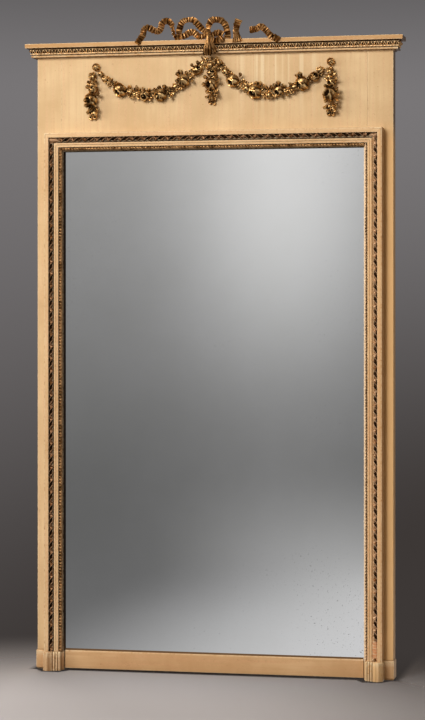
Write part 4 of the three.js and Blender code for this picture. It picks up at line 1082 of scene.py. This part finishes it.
garland("right_swag", [(14, 2014), (24, 1994), (48, 1966), (76, 1942), (107, 1918), (145, 1904), (186, 1897),
    (223, 1901), (266, 1908), (308, 1928), (340, 1948), (366, 1972)], roses=[(74, 1943, 20, 225, 32),
    (145, 1906, 22, 240, 28), (224, 1906, 17, 235, 28), (305, 1928, 21, 215, 34), (337, 1943, 15, 40, 26)],
    buds=[(30, 1990, 22, 118), (40, 1976, 24, -60), (108, 1916, 24, -40), (190, 1897, 24, -90),
    (266, 1908, 24, 20), (352, 1960, 22, 40)], leaves=[(50, 1968, 22, 50, 22), (92, 1950, 24, 60, 24),
    (104, 1928, 24, 70, 22), (98, 1922, 26, 235, 12), (118, 1912, 24, 245, 12), (152, 1918, 28, 105, 28),
    (160, 1917, 30, 72, 28), (168, 1912, 24, 50, 24), (184, 1906, 24, 110, 24), (196, 1906, 26, 70, 24),
    (214, 1912, 26, 104, 28), (222, 1915, 34, 84, 30), (234, 1910, 26, 60, 26), (250, 1900, 22, 285, 12),
    (262, 1915, 22, 95, 20), (290, 1942, 28, 120, 30), (298, 1945, 30, 98, 30), (322, 1940, 20, 300, 14),
    (200, 1892, 22, 262, 10), (232, 1896, 22, 270, 10), (20, 2004, 22, 170, 20)])
garland("left_drop", [(-402, 1974), (-402, 1950), (-404, 1915), (-405, 1885), (-403, 1855), (-403, 1832)],
    roses=[(-405, 1887, 20, 205, 22), (-402, 1916, 14, 90, 26)], buds=[(-402, 1968, 20, -90),
    (-398, 1848, 22, -80)], leaves=[(-402, 1962, 22, 35, 18), (-402, 1962, 22, 145, 18),
    (-398, 1944, 20, 40, 18), (-408, 1940, 20, 150, 18), (-398, 1925, 26, 10, 22), (-408, 1925, 26, 165, 22),
    (-390, 1900, 28, 8, 26), (-416, 1886, 28, 190, 28), (-412, 1872, 32, 215, 28), (-398, 1872, 26, 320, 22),
    (-404, 1862, 30, 255, 20), (-392, 1858, 24, 330, 22), (-412, 1852, 26, 240, 18), (-394, 1846, 24, 300, 18)],
    berries=[(-410, 1826, 7.5), (-396, 1827, 7.5)])
garland("centre_drop", [(-2, 2012), (-2, 1984), (-2, 1955), (0, 1925), (0, 1900), (0, 1878)],
    roses=[(0, 1928, 19, 190, 20), (-3, 1962, 14, 60, 26)], buds=[(-4, 2000, 24, -90), (6, 1988, 20, -60),
    (0, 1890, 22, -90)], leaves=[(-6, 1990, 22, 160, 18), (6, 1978, 24, 20, 20), (-8, 1975, 24, 150, 20),
    (10, 1950, 26, 18, 24), (-12, 1948, 26, 160, 24), (14, 1934, 28, 10, 26), (-14, 1928, 30, 185, 28),
    (-8, 1912, 28, 235, 22), (8, 1912, 26, 310, 22), (0, 1902, 28, 270, 18), (8, 1896, 26, 335, 20),
    (-6, 1890, 24, 215, 18)], berries=[(-7, 1869, 6.5), (6, 1866, 6.5)])
garland("right_drop", [(391, 1974), (390, 1945), (393, 1915), (394, 1882), (394, 1852), (393, 1828)],
    roses=[(393, 1884, 21, 150, 24), (398, 1926, 14, 200, 26)], buds=[(390, 1968, 20, -90),
    (386, 1950, 20, -80), (398, 1848, 22, -80)], leaves=[(392, 1962, 22, 35, 18), (390, 1962, 22, 145, 18),
    (396, 1944, 22, 30, 18), (386, 1938, 20, 150, 18), (404, 1930, 26, 30, 26), (386, 1912, 24, 165, 22),
    (406, 1896, 30, 18, 26), (408, 1884, 28, 352, 26), (406, 1872, 26, 325, 24), (384, 1872, 26, 220, 22),
    (398, 1862, 28, 270, 20), (404, 1856, 26, 330, 24), (384, 1852, 30, 235, 22), (388, 1842, 24, 255, 18),
    (402, 1842, 24, 300, 18)], berries=[(386, 1825, 7.5), (399, 1824, 7.5)])
for form in (rose_form, bud_form, broad_leaf, spear_leaf, berry_form):
    bpy.data.objects.remove(form)

# the ribbed buttons that a swag and a drop hang from
BUTTON = 0.0135
for word in ("left", "right"):
    low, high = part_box(f"{word}_rosette")
    centre = (low + high) / 2
    button = begin("uv_sphere", f"{word}_ribbed_button", segments=32, ring_count=14, radius=BUTTON)
    for vert in button.data.vertices:
        turn = math.atan2(vert.co.y, vert.co.x)
        vert.co *= 1 - 0.13 * (0.5 + 0.5 * math.cos(9 * turn)) ** 2 * (1 - abs(vert.co.z) / BUTTON)
    button.rotation_euler = (math.radians(90 - 14), 0, math.radians(-18))
    button.location = (centre.x, FACE - 0.0066, centre.z)
    settle(button)
    mitre(button, (0, FACE - 0.0003, 0), (0, 1, 0))
    finish(button, gilding, "gilt_wood", f"{word}_rosette", angle=50, depth=0.008)

# ---------------------------------------------------------------- ribbon crest
# A carved bow of crinkled ribbon stands on the cornice: each strand is crimped across its width all
# along, as silk is that was tied wet. It is gilded like the garlands; the right strand has a gap.

CRIMP = 0.0078
CRIMP_DEPTH = 0.0022
RIBBON = 0.0195
STAND = 24
crest_gilding = old_gilding("ribbon_water_gilding", gold="#6f4a25", bright="#ae8657", bole="#120702", glare=0.36,
                            soot=0.85)


def smooth_path(points, step):
    """Points close together on a smooth line through the given ones, with the extra values eased."""
    knots = [Vector(p[:2]) / 1000 for p in points]
    fine = []
    for i in range(len(knots) - 1):
        p0, p1 = knots[max(0, i - 1)], knots[i]
        p2, p3 = knots[i + 1], knots[min(len(knots) - 1, i + 2)]
        count = max(2, round((p2 - p1).length / step))
        for k in range(count):
            t = k / count
            at = 0.5 * (2 * p1 + (p2 - p0) * t + (2 * p0 - 5 * p1 + 4 * p2 - p3) * t ** 2
                        + (3 * p1 - p0 - 3 * p2 + p3) * t ** 3)
            more = [a + (b - a) * (t * t * (3 - 2 * t)) for a, b in zip(points[i][2:], points[i + 1][2:])]
            fine.append((at, more))
    return fine + [(knots[-1], list(points[-1][2:]))]


def sheet(fine, across, bend):
    """A ribbon along a smooth path; bend tells how far each point lies aside and out from the face."""
    obj = begin("grid", x_subdivisions=len(fine) - 1, y_subdivisions=across, size=1)
    for index, vert in enumerate(sorted(obj.data.vertices, key=lambda v: (round(v.co.x, 5), v.co.y))):
        i, j = divmod(index, across + 1)
        at, values = fine[i]
        ahead = (fine[min(len(fine) - 1, i + 1)][0] - fine[max(0, i - 1)][0]).normalized()
        aside, out = bend(i, (j / across - 0.5) * 2, *values)
        vert.co = (at.x - ahead.y * aside, FACE - out, at.y + ahead.x * aside)
    edit(obj, lambda: bpy.ops.mesh.normals_make_consistent(inside=False))
    fix(obj, "SOLIDIFY", thickness=0.0040, offset=0)
    return obj


def strand(points):
    """A crinkled ribbon; places are x, z and out from the face in millimetres, a turn and a share of width."""
    fine = smooth_path([(*p, *(STAND, 0, 1)[len(p) - 2:]) for p in points], 0.0010)
    run = [0.0]
    for (a, _), (b, _) in zip(fine, fine[1:]):
        run.append(run[-1] + (b - a).length)
    # uneven crimps: for each, where it starts, how long and how deep it is
    crimps, at = [], 0.0
    while at < run[-1] + CRIMP:
        long = CRIMP * draw.choice((0.75, 0.9, 1.2, 1.6, 2.1))
        crimps.append((at, long, draw.uniform(0.55, 1.35) * (1.35 if long > CRIMP * 1.3 else 1)))
        at += long
    wander = draw.uniform(0, 6)

    def bend(i, s, out, turn, wide):
        start, long, deep = next(c for c in reversed(crimps) if c[0] <= run[i] + 1e-9)
        share = (run[i] - start) / long
        # each fold rises slowly and drops back steeply, as pressed pleats do
        wave = 1 - 2 * share / 0.66 if share < 0.66 else 2 * (share - 0.66) / 0.34 - 1
        flat = s * RIBBON * wide / 2 * (1 - 0.07 * wave * deep)
        lift = CRIMP_DEPTH * deep * -wave - 0.0026 * s * s
        swing = 0.0032 * math.sin(run[i] / 0.0052 + wander)
        angle = math.radians(turn + 15 * math.sin(run[i] / 0.0113 + 2 * wander))
        return (flat * math.cos(angle) - lift * math.sin(angle),
                out / 1000 + flat * math.sin(angle) + lift * math.cos(angle) + swing)
    return sheet(fine, 8, bend)


def pleated(points, pleats, deep):
    """A ribbon pleated lengthwise; places are x, z, out from the face and width, in millimetres."""
    return sheet(smooth_path(points, 0.0028), pleats * 7, lambda i, s, out, wide: (
        s * wide / 2000, out / 1000 + deep * math.cos(math.pi * pleats * s) - 0.0045 * s * s))


def crest_piece(name, node, *strands, soil_and_shade=None):
    """Joins the strands of one carved piece of the crest and finishes it."""
    piece = together(name, list(strands))
    face = FACE - CORNICE_OUT - 0.0004
    for vert in piece.data.vertices:
        # nothing sinks into the cornice: what hangs over it is pushed out to its face
        if vert.co.z < TOP and vert.co.y > face:
            if vert.co.z > TOP - 0.006:
                vert.co.z = TOP + 0.0002
            else:
                vert.co.y = face
        vert.co.z = min(vert.co.z, cad_box[1][2])
        vert.co.y = max(vert.co.y, cad_box[0][1])
    finish(piece, crest_gilding, "gilt_wood", node, angle=24, depth=0.009, soil_and_shade=soil_and_shade)


crest_piece("left_tail_ribbon", "crest_left_tail", strand([(-246, 2062, 37.5), (-241, 2069, 37.5, 0, 1.05),
    (-233, 2080, 33, -8), (-228.5, 2090, 28, 10), (-227.6, 2098, STAND, 25, 0.95), (-225, 2109),
    (-214, 2117.5, STAND, -10), (-200.6, 2112), (-187, 2105, STAND, 10), (-174, 2105.5, STAND, -5),
    (-166, 2115.6, STAND, 30, 0.95), (-164.5, 2128, STAND, 15, 0.95), (-154, 2136.5), (-141, 2134),
    (-133, 2125, STAND, 20), (-129.5, 2112, STAND, 68, 0.95), (-128, 2097, STAND, 72, 0.95),
    (-125, 2088, STAND, 70, 0.9), (-120, 2083, STAND, 60, 0.9)]))
crest_piece("left_loop_ribbon", "crest_left_loop", strand([(-107, 2094, STAND, -20), (-106, 2103, STAND, -10),
    (-103, 2118), (-96, 2130), (-86, 2138.5, STAND, -8), (-71, 2141, STAND, 8), (-57, 2135), (-45, 2124),
    (-35, 2113), (-25, 2103, STAND + 2, 0, 0.85), (-14, 2096, STAND + 4, 0, 0.6)]),
    strand([(-122, 2082, STAND, 20, 0.95), (-112, 2082.5), (-99, 2084.5), (-84, 2089), (-70, 2096), (-60, 2098),
    (-50, 2091), (-40, 2083.5, STAND + 1), (-26, 2083, STAND + 3, 0, 0.9), (-14, 2085, STAND + 5, 0, 0.65)]))
crest_piece("right_loop_ribbon", "crest_right_loop", strand([(-5, 2092, STAND + 4, 0, 0.6),
    (-9, 2103, STAND + 2, 0, 0.75), (-8, 2115, STAND, 0, 0.9), (-3, 2128), (8, 2136), (22, 2137), (35, 2132.5),
    (45, 2123), (51, 2111), (54.5, 2097, STAND + 1, -5), (56, 2084, STAND + 3, 0, 1.05),
    (56, 2074, STAND + 6, 0, 1.1)]), strand([(-4, 2084, STAND + 5, 0, 0.6), (6, 2088, STAND + 3, 0, 0.85),
    (18, 2092, STAND + 3), (30, 2091, STAND + 4, 0, 1.1), (40, 2086, STAND + 6, 0, 1.1)]),
    strand([(2, 2070, 39, 0, 0.8), (12, 2068, 39.5, 0, 0.95), (24, 2068, 39.5, 0, 1.05), (36, 2071, 39, 0, 1.1),
    (44, 2077, 38)]))
crest_piece("right_tail_ribbon", "crest_right_tail", strand([(128, 2100.5, STAND, 0, 1.05),
    (141, 2101, STAND, 0, 1.05), (152, 2103, STAND, 12), (160, 2109, STAND, 20), (168, 2110), (179, 2101),
    (192, 2086.5, STAND + 4, 8), (203, 2076, 33), (214, 2072, 37.5, 0, 1.05), (222, 2067, 37.5, 0, 1.05),
    (227, 2063, 37.5)]))
crest_piece("right_stub_ribbon", "crest_right_stub", pleated([(90, 2061.5, 38.5, 32), (89, 2069, 37.5, 30),
    (87, 2078, 33, 25), (85.5, 2087, 29, 19), (85, 2094, 27, 16)], pleats=4, deep=0.0026),
    strand([(85, 2089, 27, 5, 0.95), (84, 2097, 26, 30, 0.95), (84, 2106, STAND, 50, 0.95),
    (86, 2115, STAND, 15, 1.05), (89, 2125, STAND, -12, 1.15), (92.5, 2134, STAND, -10, 1.2)]))

# the knot: gathered folds that pinch the ribbons together, and a pleated band that falls from it
# over the cornice to the centre drop
gather = begin("uv_sphere", segments=36, ring_count=18, radius=1)
for vert in gather.data.vertices:
    turn = math.atan2(vert.co.z, vert.co.x)
    ridge = 1 + 0.10 * math.cos(9 * turn) * (1 - abs(vert.co.y) ** 2)
    vert.co = (vert.co.x * 0.0105 * ridge, vert.co.y * 0.0125, vert.co.z * 0.0150 * ridge)
gather.location = (-0.0075, FACE - 0.031, 2.0885)
settle(gather)
crest_piece("knot_and_band", "crest_knot", gather, pleated([(-7.5, 2100, 33, 10), (-7.5, 2090, 38, 9.5),
    (-7.5, 2078, 41, 9), (-7.5, 2068, 43, 10), (-8, 2057, 43, 15), (-8.5, 2046, 42, 23), (-9, 2034, 39, 28),
    (-9.5, 2026, 35, 27), (-10, 2020, 30, 22)], pleats=3, deep=0.0027), pleated([(-1, 2084, 36, 6),
    (4, 2066, 41, 8), (9, 2050, 40, 9), (15, 2036, 36, 9), (19, 2028, 31, 7)], pleats=2, deep=0.0018),
    soil_and_shade=lambda at: 0.16 if at.x > -0.0135 else 0.24)
